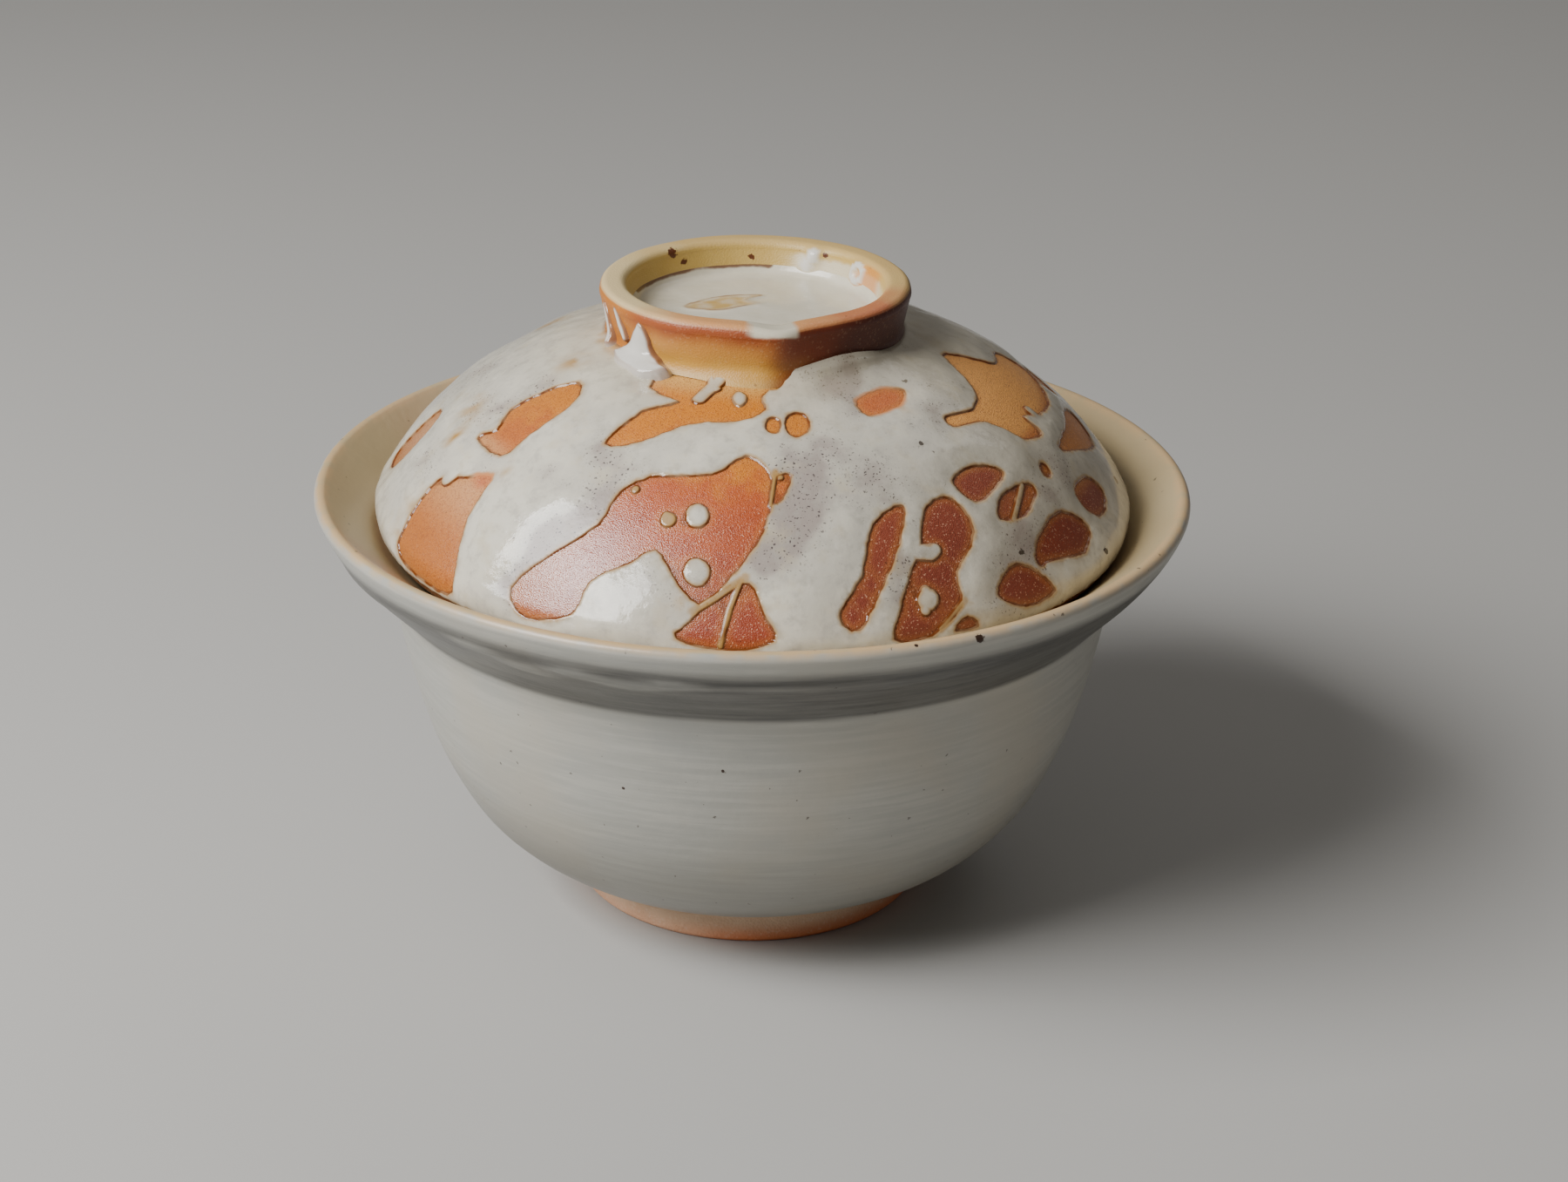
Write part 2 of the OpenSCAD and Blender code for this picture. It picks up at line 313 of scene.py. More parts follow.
def add(tree, kind, wires=None, **settings):
    """Adds a shader node, sets its properties, and wires or fills its inputs."""
    made = tree.nodes.new("ShaderNode" + kind)
    for name, value in settings.items():
        setattr(made, name, value)
    wire(tree, made, wires or {})
    return made


def use(tree, group, wires):
    """Places a node group."""
    made = tree.nodes.new("ShaderNodeGroup")
    made.node_tree = group
    wire(tree, made, wires)
    return made.outputs


def maths(tree, operation, a, b=0.0):
    return add(tree, "Math", {0: a, 1: b}, operation=operation).outputs[0]


def times(tree, first, *others):
    """Multiplies masks and shares."""
    for other in others:
        first = maths(tree, "MULTIPLY", first, other)
    return first


# %% Helpers for patterns
def mix(tree, share, a, b):
    """Mixes two colours."""
    return add(tree, "Mix", {0: share, 6: a, 7: b}, data_type="RGBA").outputs[2]


def ease(tree, value, low, high, at_low=0.0, at_high=1.0):
    """A smooth step from one value to another as the input goes from low to high."""
    wires = {0: value, 1: low, 2: high, 3: at_low, 4: at_high}
    return add(tree, "MapRange", wires, interpolation_type="SMOOTHSTEP").outputs[0]


def grain(tree, place, size, detail=2.0, rough=0.5):
    """Noise from 0 to 1 whose bumps are about this size in metres."""
    wires = {"Vector": place, "Scale": 1 / size, "Detail": detail, "Roughness": rough}
    return add(tree, "TexNoise", wires).outputs["Fac"]


def new_group(name, inputs, outputs):
    """A node group with named sockets. An input without a value carries a place."""
    tree = bpy.data.node_groups.new(name, "ShaderNodeTree")
    for socket, value in inputs.items():
        kind = "NodeSocketVector" if value is None else "NodeSocketFloat"
        made = tree.interface.new_socket(socket, in_out="INPUT", socket_type=kind)
        if value is not None:
            made.default_value = value
    for socket in outputs:
        tree.interface.new_socket(socket, in_out="OUTPUT", socket_type="NodeSocketFloat")
    return tree, tree.nodes.new("NodeGroupInput").outputs, tree.nodes.new("NodeGroupOutput").inputs


# %% [markdown]
# ## Shared effects
# Iron in the clay bleeds through the glazes as specks, on the bowl, the lid and the pool alike. A Voronoi
# pattern scatters one point in each cell, and a cell's random colour decides whether it holds a speck and
# how large it is. The few freckles that stand out are set one by one, each a blot round its own centre.
# Bare clay has sand and grog in it, so its group puts out a gritty height and a scatter of pale grains.

# %% Group: iron specks
JITTER_SCALE, JITTER_REACH = 2600.0, 0.0006
SMALLEST_SPECK = 0.3
inputs = {"Place": None, "Spacing": 0.002, "Share": 0.2, "Size": 0.3}
specks, given, result = new_group("iron_specks", inputs, ["Mask"])
wires = {"Vector": given["Place"], "Scale": JITTER_SCALE, "Detail": 1.0}
jitter = add(specks, "TexNoise", wires).outputs["Color"]
jitter = add(specks, "VectorMath", {0: jitter, 1: (0.5, 0.5, 0.5)}, operation="SUBTRACT").outputs[0]
jitter = add(specks, "VectorMath", {0: jitter, "Scale": JITTER_REACH}, operation="SCALE").outputs[0]
uneven_place = add(specks, "VectorMath", {0: given["Place"], 1: jitter}, operation="ADD").outputs[0]
cells_per_metre = maths(specks, "DIVIDE", 1.0, given["Spacing"])
cell = add(specks, "TexVoronoi", {"Vector": uneven_place, "Scale": cells_per_metre})
draw = add(specks, "SeparateColor", {0: cell.outputs["Color"]}).outputs
holds = maths(specks, "LESS_THAN", draw[0], given["Share"])
part_of_size = maths(specks, "ADD", times(specks, draw[1], 1 - SMALLEST_SPECK), SMALLEST_SPECK)
reach = times(specks, given["Size"], part_of_size)
inside = ease(specks, maths(specks, "DIVIDE", cell.outputs["Distance"], reach), 1.0, 0.55)
specks.links.new(times(specks, holds, inside), result["Mask"])
print("group:", specks.name)


def scatter(tree, place, spacing, share, size):
    """A mask of iron specks: the cells' size in metres, the share that hold one, and its size in the cell."""
    return use(tree, specks, {"Place": place, "Spacing": spacing, "Share": share, "Size": size})["Mask"]


# %% Group: one freckle
inputs = {"Place": None, "Centre": None, "Radius": 0.0004, "Before": 0.0}
freckle, given, result = new_group("freckle", inputs, ["Mask"])
wires = {0: given["Place"], 1: given["Centre"]}
away = add(freckle, "VectorMath", wires, operation="DISTANCE").outputs["Value"]
wavy = grain(freckle, given["Place"], 0.0005)
spread = times(freckle, given["Radius"], times(freckle, wavy, 1.7))
spot = ease(freckle, maths(freckle, "DIVIDE", away, spread), 1.1, 0.8)
freckle.links.new(maths(freckle, "MAXIMUM", spot, given["Before"]), result["Mask"])
print("group:", freckle.name)


def freckled(tree, place, base, freckles, tint):
    """Sets single freckles, given by their centres and radii in metres, on a base colour."""
    mask = 0.0
    for centre, radius in freckles:
        wires = {"Place": place, "Centre": centre, "Radius": radius, "Before": mask}
        mask = use(tree, freckle, wires)["Mask"]
    return mix(tree, mask, base, tint)


# %% Group: gritty clay
def gritty_height(tree, place, grains_per_metre):
    """Relief of sand and grog, and the pattern of single grains in it."""
    fine = add(tree, "TexVoronoi", {"Vector": place, "Scale": grains_per_metre})
    coarse = grain(tree, place, 0.0011, 4.0, 0.65)
    return maths(tree, "ADD", fine.outputs["Distance"], times(tree, coarse, 0.5)), fine


outputs = ["Height", "Pale grains", "Tone", "Patches"]
grit, given, result = new_group("gritty_clay", {"Place": None, "Size": 0.0003}, outputs)
height, fine = gritty_height(grit, given["Place"], maths(grit, "DIVIDE", 1.0, given["Size"]))
grit.links.new(height, result["Height"])
chance = add(grit, "SeparateColor", {0: fine.outputs["Color"]}).outputs[0]
grit.links.new(maths(grit, "GREATER_THAN", chance, 0.93), result["Pale grains"])
grit.links.new(chance, result["Tone"])
grit.links.new(grain(grit, given["Place"], 0.006, 3.0, 0.6), result["Patches"])
print("group:", grit.name)

# %% [markdown]
# ## Finishes
# A finish is a Principled shader with patterns of colour, roughness and relief. A pattern that belongs to one
# part of a piece needs a mask. It is made of soft limits along the axes of the piece: a letter for the axis,
# the millimetre where the mask starts and the one where it is full.

# %% Helpers for masks and colours
def attribute(tree, name):
    return add(tree, "Attribute", attribute_name=name).outputs["Fac"]


def axes(tree, place):
    """The three coordinates of a place, by letter."""
    return dict(zip("xyz", add(tree, "SeparateXYZ", {0: place}).outputs))


def zone(tree, axis, *limits):
    """A mask inside soft limits along the axes."""
    return times(tree, *(ease(tree, axis[letter], start * MM, full * MM) for letter, start, full in limits))


def colour(red, green, blue):
    """A colour given as it looks on screen, from 0 to 255, as the linear light that a shader works in."""
    def linear(c):
        c = c / 255
        return c / 12.92 if c <= 0.04045 else ((c + 0.055) / 1.055) ** 2.4
    return (linear(red), linear(green), linear(blue), 1)


# %% Helpers for shaders
def new_material(name, roughness, **sockets):
    """A material with a Principled shader, and the place on the piece that its patterns read."""
    material = bpy.data.materials.new(name)
    material.use_nodes = True
    tree = material.node_tree
    shader = tree.nodes["Principled BSDF"]
    shader.inputs["Roughness"].default_value = roughness
    for socket, value in sockets.items():
        shader.inputs[socket.replace("_", " ")].default_value = value
    place = add(tree, "TexCoord").outputs["Object"]
    return material, tree, shader, place


def paint(tree, shader, base, roughness=None):
    """Feeds a pattern of colour to the shader, and one of roughness where there is one."""
    tree.links.new(base, shader.inputs["Base Color"])
    if roughness is not None:
        tree.links.new(roughness, shader.inputs["Roughness"])


def raise_surface(tree, shader, height, depth, strength=1.0, socket="Normal"):
    """Lets a height pattern shade the surface as relief of this depth in metres."""
    relief = add(tree, "Bump", {"Height": height, "Distance": depth, "Strength": strength})
    tree.links.new(relief.outputs["Normal"], shader.inputs[socket])


def dress(piece, material):
    """Gives the piece its one material."""
    piece.data.materials.clear()
    piece.data.materials.append(material)
    print(piece.name, "wears", material.name)


def finish_piece(piece, body, node, material):
    """Dresses a piece, makes it move with a body, and lets it stand for its CAD node."""
    dress(piece, material)
    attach(piece, body)
    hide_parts(node)


# %% [markdown]
# ## The bowl's finish
# The glaze is a satin grey outside, where faint rings follow the wheel, and a warmer beige inside. Rings this
# fine would need too many faces, so they are a pattern: one noise, stretched flat, makes them, and another
# the clouds. Towards the foot the grey darkens, as painted shade and partly as thinner glaze, and a painted
# shadow line marks where the glaze ends. The band under the lip is darkened as painted shade, less on the
# finger marks that stand out of it, where the ridges get painted light. Over the lip it ran thin, so the clay
# shows through as a tan line, which is also a painted highlight along the lip. Specks of iron are sparse.

# %% Bowl glaze: finish
satin, tree, shader, place = new_material("satin_grey_glaze", 0.34, IOR=1.5)
axis = axes(tree, place)
FLATTEN = (0.06, 0.06, 1.0)
stretch = add(tree, "Mapping", {"Vector": place, "Scale": FLATTEN}).outputs[0]
rings = grain(tree, stretch, 0.0009, 3.0, 0.6)
clouds = grain(tree, place, 0.022, 3.0, 0.55)
outside = mix(tree, ease(tree, rings, 0.35, 0.7), colour(167, 166, 158), colour(179, 177, 168))
outside = mix(tree, ease(tree, clouds, 0.45, 0.7, 0.0, 0.6), outside, colour(178, 171, 156))
outside = mix(tree, ease(tree, clouds, 0.45, 0.25, 0.0, 0.4), outside, colour(154, 155, 152))
# Painted shade: darker towards the foot, partly as thinner glaze, and a painted shadow line where the glaze
# ends.
foot_shade_and_thin_glaze = times(tree, zone(tree, axis, ("z", 34, 12)), 0.6)
outside = mix(tree, foot_shade_and_thin_glaze, outside, colour(100, 96, 86))
glaze_end_shadow = times(tree, zone(tree, axis, ("z", 6.7, 6.2)), 0.9)
outside = mix(tree, glaze_end_shadow, outside, colour(50, 40, 32))
# Painted shade: the band under the lip is darkened, less where the finger marks stand out, as painted light on
# their ridges.
band = zone(tree, axis, ("z", 49.5, 51), ("z", 62.5, 60))
band_shade = times(tree, band, ease(tree, rings, 0.1, 0.7, 0.95, 0.75))
band_shade = times(tree, band_shade, ease(tree, attribute(tree, "marks"), 0.1, 0.6, 1.0, 0.6))
outside = mix(tree, band_shade, outside, colour(38, 36, 33))
inside_tint = mix(tree, clouds, colour(180, 158, 118), colour(196, 178, 140))
base = mix(tree, attribute(tree, "inside"), outside, inside_tint)
# The tan line over the lip is thin glaze and also a painted highlight along the lip's edge.
thin_lip_and_highlight = times(tree, attribute(tree, "lip"), ease(tree, grain(tree, place, 0.004), 0.25, 0.6), 0.8)
base = mix(tree, thin_lip_and_highlight, base, colour(206, 172, 126))
base = mix(tree, times(tree, scatter(tree, place, 0.0026, 0.75, 0.12), 0.7), base, colour(66, 54, 46))
BOWL_FRECKLES = [((0.0303, -0.0573, 0.0643), 0.00075), ((0.0217, -0.0607, 0.0648), 0.0003),
                 ((-0.0175, -0.0485, 0.0370), 0.0003), ((-0.0036, -0.0525, 0.0419), 0.0003)]
base = freckled(tree, place, base, BOWL_FRECKLES, colour(58, 40, 30))
paint(tree, shader, base, ease(tree, clouds, 0.3, 0.7, 0.28, 0.4))
relief = maths(tree, "ADD", times(tree, rings, 0.4), grain(tree, place, 0.0016))
raise_surface(tree, shader, relief, 0.00004)
finish_piece(bowl_glaze, "bowl", "bowl_glaze", satin)

# %% [markdown]
# ## Foot ring and the clay under the bowl
# The foot was trimmed from the same clay and left bare, so that the bowl doesn't stick to the kiln shelf. It
# fired pinkish beige, with an orange flash low on the front right; its top, where the glaze stops, is darkened
# as a painted shadow line. A turned ring would look too clean, so noise makes it slightly uneven, except
# where it stands on the table.

# %% Foot ring: shape
FOOT_UNEVEN = 0.12
foot = turned("bowl_foot_ring", "bowl_foot", cuts=3, steps=120)
co = points(foot)
above_table = soft_step(0.3, 1.5, co[:, 2] / MM)
move_points(foot, push_out(co, FOOT_UNEVEN * above_table * ripple(co, 5 * MM, 2.0)))

# %% Bare foot clay: finish
foot_clay, tree, shader, place = new_material("bare_foot_clay", 0.62)
axis = axes(tree, place)
gritty = use(tree, grit, {"Place": place, "Size": 0.0004})
base = mix(tree, gritty["Patches"], colour(224, 196, 166), colour(202, 162, 128))
flash = times(tree, zone(tree, axis, ("z", 4, 0.2)), ease(tree, axis["x"], -0.013, 0.001, 0.3, 0.9))
base = mix(tree, flash, base, colour(214, 114, 58))
# Painted shadow: a dark line along the top of the foot, where the glaze stops.
base = mix(tree, times(tree, zone(tree, axis, ("z", 4.6, 6.2)), 0.85), base, colour(92, 62, 44))
base = mix(tree, times(tree, gritty["Pale grains"], 0.15), base, colour(232, 212, 190))
paint(tree, shader, base)
raise_surface(tree, shader, gritty["Height"], 0.0001)
finish_piece(foot, "bowl", "bowl_foot_ring", foot_clay)
dress(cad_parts["bowl_body"], foot_clay)

# %% [markdown]
# ## The dome's profile
# The white coat lies on the dome, so both need the same curve. The dome's own outline is cut from the part,
# smoothed, and kept as radius, height and outward normal against the angle round a point inside the lid.
# Any point near the dome can then be set exactly on it.

# %% Helper that picks points
def select_points(piece, chosen):
    """Opens the piece in edit mode with the chosen points selected."""
    edit(piece)
    done()
    piece.data.vertices.foreach_set("select", np.asarray(chosen, bool))
    bpy.ops.object.mode_set(mode="EDIT")


# %% Dome: profile of the clay skin
PIVOT_R, PIVOT_Z = 20 * MM, 55 * MM
SLACK, BESIDE, LID_WALL = 0.05 * MM, 0.09, 2 * MM


def angle_round_pivot(r, z):
    return np.arctan2(z - PIVOT_Z, r - PIVOT_R)


coat_co = points(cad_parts["lid_glaze"])
ring_foot_r, coat_low_z = float(radius_of(coat_co).min()), float(coat_co[:, 2].min())
dome_line = cut_profile("lid_dome", "dome_line")
co = points(dome_line)
inner_side = (co[:, 0] < ring_foot_r - SLACK) | (co[:, 2] < coat_low_z - SLACK)
co_angle = angle_round_pivot(co[:, 0], co[:, 2])
reach_out = np.hypot(co[:, 0] - PIVOT_R, co[:, 2] - PIVOT_Z)
for k in range(len(co)):
    beyond = reach_out[np.abs(co_angle - co_angle[k]) < BESIDE].max()
    inner_side[k] |= reach_out[k] < beyond - LID_WALL
select_points(dome_line, inner_side)
bpy.ops.mesh.delete(type="VERT")
done()
coat = dome_line.copy()
coat.data = dome_line.data.copy()
coat.name = "white_coat"
bpy.context.scene.collection.objects.link(coat)
smooth_level(dome_line, 4)
co = points(dome_line)
co = co[np.argsort(angle_round_pivot(co[:, 0], co[:, 2]))]
line_r, line_z = co[:, 0], co[:, 2]
line_angle = angle_round_pivot(line_r, line_z)
slope_r, slope_z = np.gradient(line_r, line_angle), np.gradient(line_z, line_angle)
slope_size = np.hypot(slope_r, slope_z)
line_nr, line_nz = slope_z / slope_size, -slope_r / slope_size
bpy.data.objects.remove(dome_line)
print("dome profile:", len(line_r), "points from r", round(line_r[-1] / MM, 1), "to",
      round(line_r.max() / MM, 1))

# %% Dome: places on it
NEAR_ZERO = 1e-9


def on_dome(co):
    """The nearest places on the clay skin and the outward normals there."""
    r = radius_of(co)
    angle = angle_round_pivot(r, co[:, 2])
    spoke = co[:, :2] / np.maximum(r, NEAR_ZERO)[:, None]
    at_r, at_z, n_r, n_z = (np.interp(angle, line_angle, x) for x in (line_r, line_z, line_nr, line_nz))
    return np.c_[spoke * at_r[:, None], at_z], np.c_[spoke * n_r[:, None], n_z]


def dome_point(turn, z):
    """The place on the clay skin at a turn in degrees and a height in millimetres."""
    r = np.interp(z * MM, line_z, line_r)
    return np.array([r * math.sin(math.radians(turn)), -r * math.cos(math.radians(turn)), z * MM])


def dome_spot(at, turn, z, reach):
    """A smooth hill of height 1 round a place on the dome."""
    return bump_at(np.linalg.norm(at - dome_point(turn, z), axis=1) / MM, 0, reach)


def stroke_distance(at, line):
    """Distance in millimetres from a line over the dome."""
    knots = [dome_point(turn, z) for turn, z in line]
    best = np.linalg.norm(at - knots[0], axis=1)
    for a, b in zip(knots, knots[1:]):
        t = np.clip(((at - a) @ (b - a)) / ((b - a) @ (b - a)), 0, 1)
        best = np.minimum(best, np.linalg.norm(at - a - t[:, None] * (b - a), axis=1))
    return best / MM


# %% [markdown]
# ## Where the coat crawled back
# The part's coat has the windows cut out of it. The materials and the rolled edges need to know how far any
# place is from the nearest window edge, so the edges are found on a copy of the coat: they are where its
# outer skin ends. A kd-tree over points along them measures the distance, and a ray down onto the skin says
# which side of the edge a place is on.

# %% Coat: edges of the windows
SAMPLE, AT_RING = 0.1 * MM, 0.3 * MM
OUTER_SHARE = 0.8


def edge_ends(piece):
    return read(piece.data.edges, "vertices", 2, int)


coat_copy = copy_of("lid_glaze", "coat_copy")
co = points(coat_copy)
at, out = on_dome(co)
lift = ((co - at) * out).sum(1)
coat_t = float(lift.max())
corners = read(coat_copy.data.loops, "vertex_index", kind=int).reshape(-1, 3)
sides = read(coat_copy.data.loops, "edge_index", kind=int).reshape(-1, 3)
skin = (lift > OUTER_SHARE * coat_t)[corners].all(1)
ends = edge_ends(coat_copy)
open_side = np.bincount(sides[skin].ravel(), minlength=len(ends)) == 1
pair = co[ends[open_side]]
at_ring = (radius_of(pair.reshape(-1, 3)).reshape(-1, 2) < ring_foot_r + AT_RING).all(1)
edge_points = [a + (b - a) * t for a, b in pair[~at_ring]
               for t in np.arange(0, 1, SAMPLE / max(SAMPLE, np.linalg.norm(b - a)))]
edge_tree = kdtree.KDTree(len(edge_points))
for k, p in enumerate(edge_points):
    edge_tree.insert(p, k)
edge_tree.balance()
skin_tree = BVHTree.FromPolygons([Vector(p) for p in co], corners[skin].tolist())
bpy.data.objects.remove(coat_copy)
edge_length = len(edge_points) * SAMPLE
print("coat:", round(coat_t / MM, 2), "mm thick,", round(edge_length / MM), "mm of window edges")

# %% [markdown]
# Thin strokes of glaze cross some windows, and small drops sit in others. They are lines over the dome with
# a half width, and they count as glaze too. Along other lines the glaze drew back further than the window,
# and round the front of the ring it left a skirt of bare clay. The coat is thicker in some places than in
# others, which shows as cream where it is thick and as grey, peppered with iron, where it is thin. A few
# window edges are soft: there the glaze thins out instead of rolling back.

# %% Coat: strokes, and thick and thin places
# Points of each stroke as turn and height, its half width, the share of the coat's thickness, and its stain
STROKES = [([(-1.6, 69.6), (-3.1, 66.4), (-4.2, 62.0)], 0.5, 0.3, 1.0),
           ([(-1.0, 69.9), (-5.2, 67.6), (-8.3, 65.9)], 0.6, 0.4, 0.8),
           ([(4.4, 80.4), (3.1, 77.3)], 0.42, 0.3, 1.0), ([(5.3, 79.9)], 0.55, 0.3, 1.0),
           ([(-21.9, 77.9)], 0.7, 0.25, 1.0), ([(53.6, 74.5), (47.0, 71.7)], 0.6, 0.7, 0.2),
           ([(32.0, 64.9), (27.3, 62.2)], 0.5, 0.4, 0.8), ([(-12.4, 87.25), (-16.4, 86.0)], 1.15, 1.0, 0.0),
           ([(75.9, 77.4), (76.0, 79.2)], 1.0, 0.9, 0.0), ([(25.0, 71.5), (28.7, 70.9)], 1.3, 1.0, 0.0),
           ([(26.2, 66.8), (25.4, 64.8)], 0.95, 1.0, 0.2), ([(-62.4, 72.6), (-60.3, 74.8)], 1.5, 1.3, 0.0),
           ([(-14.4, 75.4)], 1.2, 0.8, 0.9)]
# Points of strokes where the glaze drew back further than the window, and their half width
BARE_STROKES = [([(50.4, 82.2), (60, 81.6)], 1.0), ([(52.1, 67.6), (48.4, 66.4)], 0.7)]
# Points of a line along which the coat ran thin, its reach and the share that is missing
THIN_LINE, THIN_REACH, THIN_DROP = [(-37.0, 65.4), (-33.4, 71.2), (-29.0, 73.9), (-24, 76)], 3.0, 0.75
# Turn, height, reach and change of thickness of places where the coat ran thick or thin
THICK_PLACES = [(-46, 70, 8, 0.3), (-24, 66, 5, 0.3), (3, 67, 4, 0.3), (24, 63, 3, 0.3), (62, 64, 6, 0.3),
                (-52, 82, 5, 0.2), (6, 74, 5, -0.5), (9, 79, 6, -0.4), (1, 71, 3, -0.5), (22, 79, 5, -0.4),
                (16, 83, 5, -0.4), (-40.6, 77.6, 1.6, -0.5), (-73, 79, 3, -0.4), (-64, 83.6, 3, -0.5),
                (-72, 72, 3, -0.45), (-30, 80, 4, -0.4), (33, 86.6, 6, -0.6), (48, 83, 5, -0.35),
                (22.5, 70, 2.5, -0.7), (21.5, 66.5, 2, -0.5), (48, 69, 5, -0.5), (57, 73, 4, -0.5),
                (-66, 81, 3, -0.5), (70, 74, 5, -0.4), (130, 75, 7, -0.5), (100, 80, 5, -0.4),
                (170, 70, 6, -0.5), (-150, 81, 6, -0.5), (-120, 72, 5, -0.5), (-95, 80, 4, -0.4),
                (-140, 70, 6, 0.3)]
# Turn, height and reach of windows with a soft edge
SOFT_EDGES = [(37.4, 85.2, 4.0), (-53.9, 75.2, 2.4)]
# Turns between which the clay is bare at the foot of the ring, and how far out
SKIRT_FROM, SKIRT_TO, SKIRT_WIDE = -13, 9.5, 2.3
# Turn, height and reach of ochre smudges in the coat
SMUDGES = [(-75.5, 78.8, 2.2), (-69.6, 77.2, 2.4), (-70, 75.9, 2.0), (-65.6, 67.6, 2.2), (-65.4, 64, 2.0),
           (-60.9, 87.2, 1.8), (-68, 87.5, 1.7), (-74, 87.3, 1.6), (-79.7, 87.3, 1.8), (-66.7, 85.6, 2.2),
           (-50, 75.5, 1.4), (40, 84.5, 1.4), (64, 79, 2.0), (-9, 67, 1.5), (160, 80, 3.0),
           (-150, 76, 2.6), (110, 72, 2.2), (-110, 84, 2.4)]
print("coat:", len(STROKES), "strokes,", len(THICK_PLACES), "thick and thin places")

# %% Coat: its edge, thickness and stain anywhere
ABOVE_SKIN = 2 * MM


def window_edge(at, out):
    """Millimetres in from the nearest window edge, negative inside a window, with a slight wobble."""
    r = radius_of(at)
    inward = np.maximum(r, ring_foot_r + 0.2 * MM) / r
    lifted = np.c_[at[:, :2] * inward[:, None], at[:, 2]] + out * coat_t
    far = np.array([edge_tree.find(p)[2] for p in lifted]) / MM
    hit = [skin_tree.ray_cast(Vector(p + ABOVE_SKIN * n), Vector(-n), 2 * ABOVE_SKIN)[0] is not None
           for p, n in zip(lifted, out)]
    edge = np.where(hit, far, -far)
    edge += 0.2 * ripple(at, 1.7 * MM, 1.0) + 0.1 * ripple(at, 0.6 * MM, 2.0)
    return edge


def glaze_thickness(at):
    """Share of the coat's full thickness."""
    thick = 0.6 + 0.3 * ripple(at, 9 * MM, 3.0) + 0.24 * ripple(at, 3 * MM, 5.0)
    thick -= THIN_DROP * bump_at(stroke_distance(at, THIN_LINE), 0, THIN_REACH)
    for turn, z, reach, change in THICK_PLACES:
        thick += change * dome_spot(at, turn, z, reach)
    return np.clip(thick, 0, 1)


def past_skirt(at, edge):
    """Millimetres in from the edge, with the bare skirt at the foot of the ring left out too."""
    turn = turn_of(at)
    begins = soft_step(SKIRT_FROM - 3, SKIRT_FROM + 2, turn)
    skirt = SKIRT_WIDE * begins * soft_step(SKIRT_TO + 3, SKIRT_TO - 2, turn)
    outside = (radius_of(at) - ring_foot_r) / MM - skirt - 0.3 * ripple(at, 1.5 * MM, 9.0)
    return np.where(skirt > 0.2, np.minimum(edge, outside), edge)


def coat_field(co):
    """For each place: millimetres in from the glaze's edge, share of full thickness, and yellow stain."""
    at, out = on_dome(co)
    edge, thick = past_skirt(at, window_edge(at, out)), glaze_thickness(at)
    patchy = soft_step(-0.4, 0.4, ripple(at, 2 * MM, 8.0))
    stain = np.zeros(len(at))
    for turn, z, reach in SMUDGES:
        stain += patchy * dome_spot(at, turn, z, reach)
    for line, half in BARE_STROKES:
        edge = np.minimum(edge, stroke_distance(at, line) - half)
    for line, half, share, yellow in STROKES:
        gap = half - stroke_distance(at, line)
        thick = np.where(gap > edge, thick * share, thick)
        stain = np.maximum(stain, yellow * soft_step(-0.3, 0.2, gap))
        edge = np.maximum(edge, gap)
    return edge, thick, stain


def softness(at):
    """How soft the window edges are at each place, from 0 to 1."""
    soft = np.max([dome_spot(at, turn, z, reach) for turn, z, reach in SOFT_EDGES], axis=0)
    return soft_step(0.15, 0.5, soft)


# %% [markdown]
# ## The white coat
# The coat could be a copy of the part's own mesh, but crawled glaze has soft rolled edges and an uneven skin.
# So the dome's line is spun into a fresh skin, its faces are subdivided only near window edges and strokes,
# and the faces well inside the windows are deleted. Where two holes then touch at one point, the border would
# cross itself and the shell could not close, so such points are deleted as well.

# %% White coat: helpers for its skin
def face_centres(piece):
    return read(piece.data.polygons, "center", 3)


def select_faces(piece, chosen):
    """Opens the piece in edit mode with the chosen faces selected."""
    edit(piece, "FACE")
    done()
    piece.data.polygons.foreach_set("select", np.asarray(chosen, bool))
    bpy.ops.object.mode_set(mode="EDIT")


def refine(piece, chosen):
    """Subdivides the chosen faces once."""
    select_faces(piece, chosen)
    bpy.ops.mesh.subdivide(number_cuts=1, ngon=False)
    done()
    print(piece.name, "refined to", len(piece.data.polygons), "faces")


def pinched(piece):
    """Points where the border of a skin crosses itself."""
    sides = read(piece.data.loops, "edge_index", kind=int)
    border = np.bincount(sides, minlength=len(piece.data.edges)) == 1
    return np.bincount(edge_ends(piece)[border].ravel(), minlength=len(piece.data.vertices)) > 2


# %% White coat: skin with windows
# Millimetres in from the edge between which faces are subdivided, in two rounds
REFINE = ((-1.2, 1.5), (-0.45, 0.7))
BY_STROKE, BARE = 0.45, -0.5
COAT_STEPS = 212

smooth_level(coat, 1)
spin_profile(coat, COAT_STEPS)
for below, beyond in REFINE:
    edge = coat_field(face_centres(coat))[0]
    refine(coat, (edge > below) & (edge < beyond))
at = on_dome(face_centres(coat))[0]
from_strokes = [np.abs(half - stroke_distance(at, line)) for line, half, _, _ in STROKES]
refine(coat, np.min(from_strokes, axis=0) < BY_STROKE)
select_faces(coat, coat_field(face_centres(coat))[0] < BARE)
bpy.ops.mesh.delete(type="FACE")
bpy.ops.mesh.select_mode(type="VERT")
select_all()
bpy.ops.mesh.dissolve_degenerate(threshold=MERGE)
done()
while pinched(coat).any():
    print("coat: pinched points to clear", int(pinched(coat).sum()))
    select_points(coat, pinched(coat))
    bpy.ops.mesh.delete(type="VERT")
    done()
edit_all(coat)
bpy.ops.mesh.normals_make_consistent(inside=False)
done()

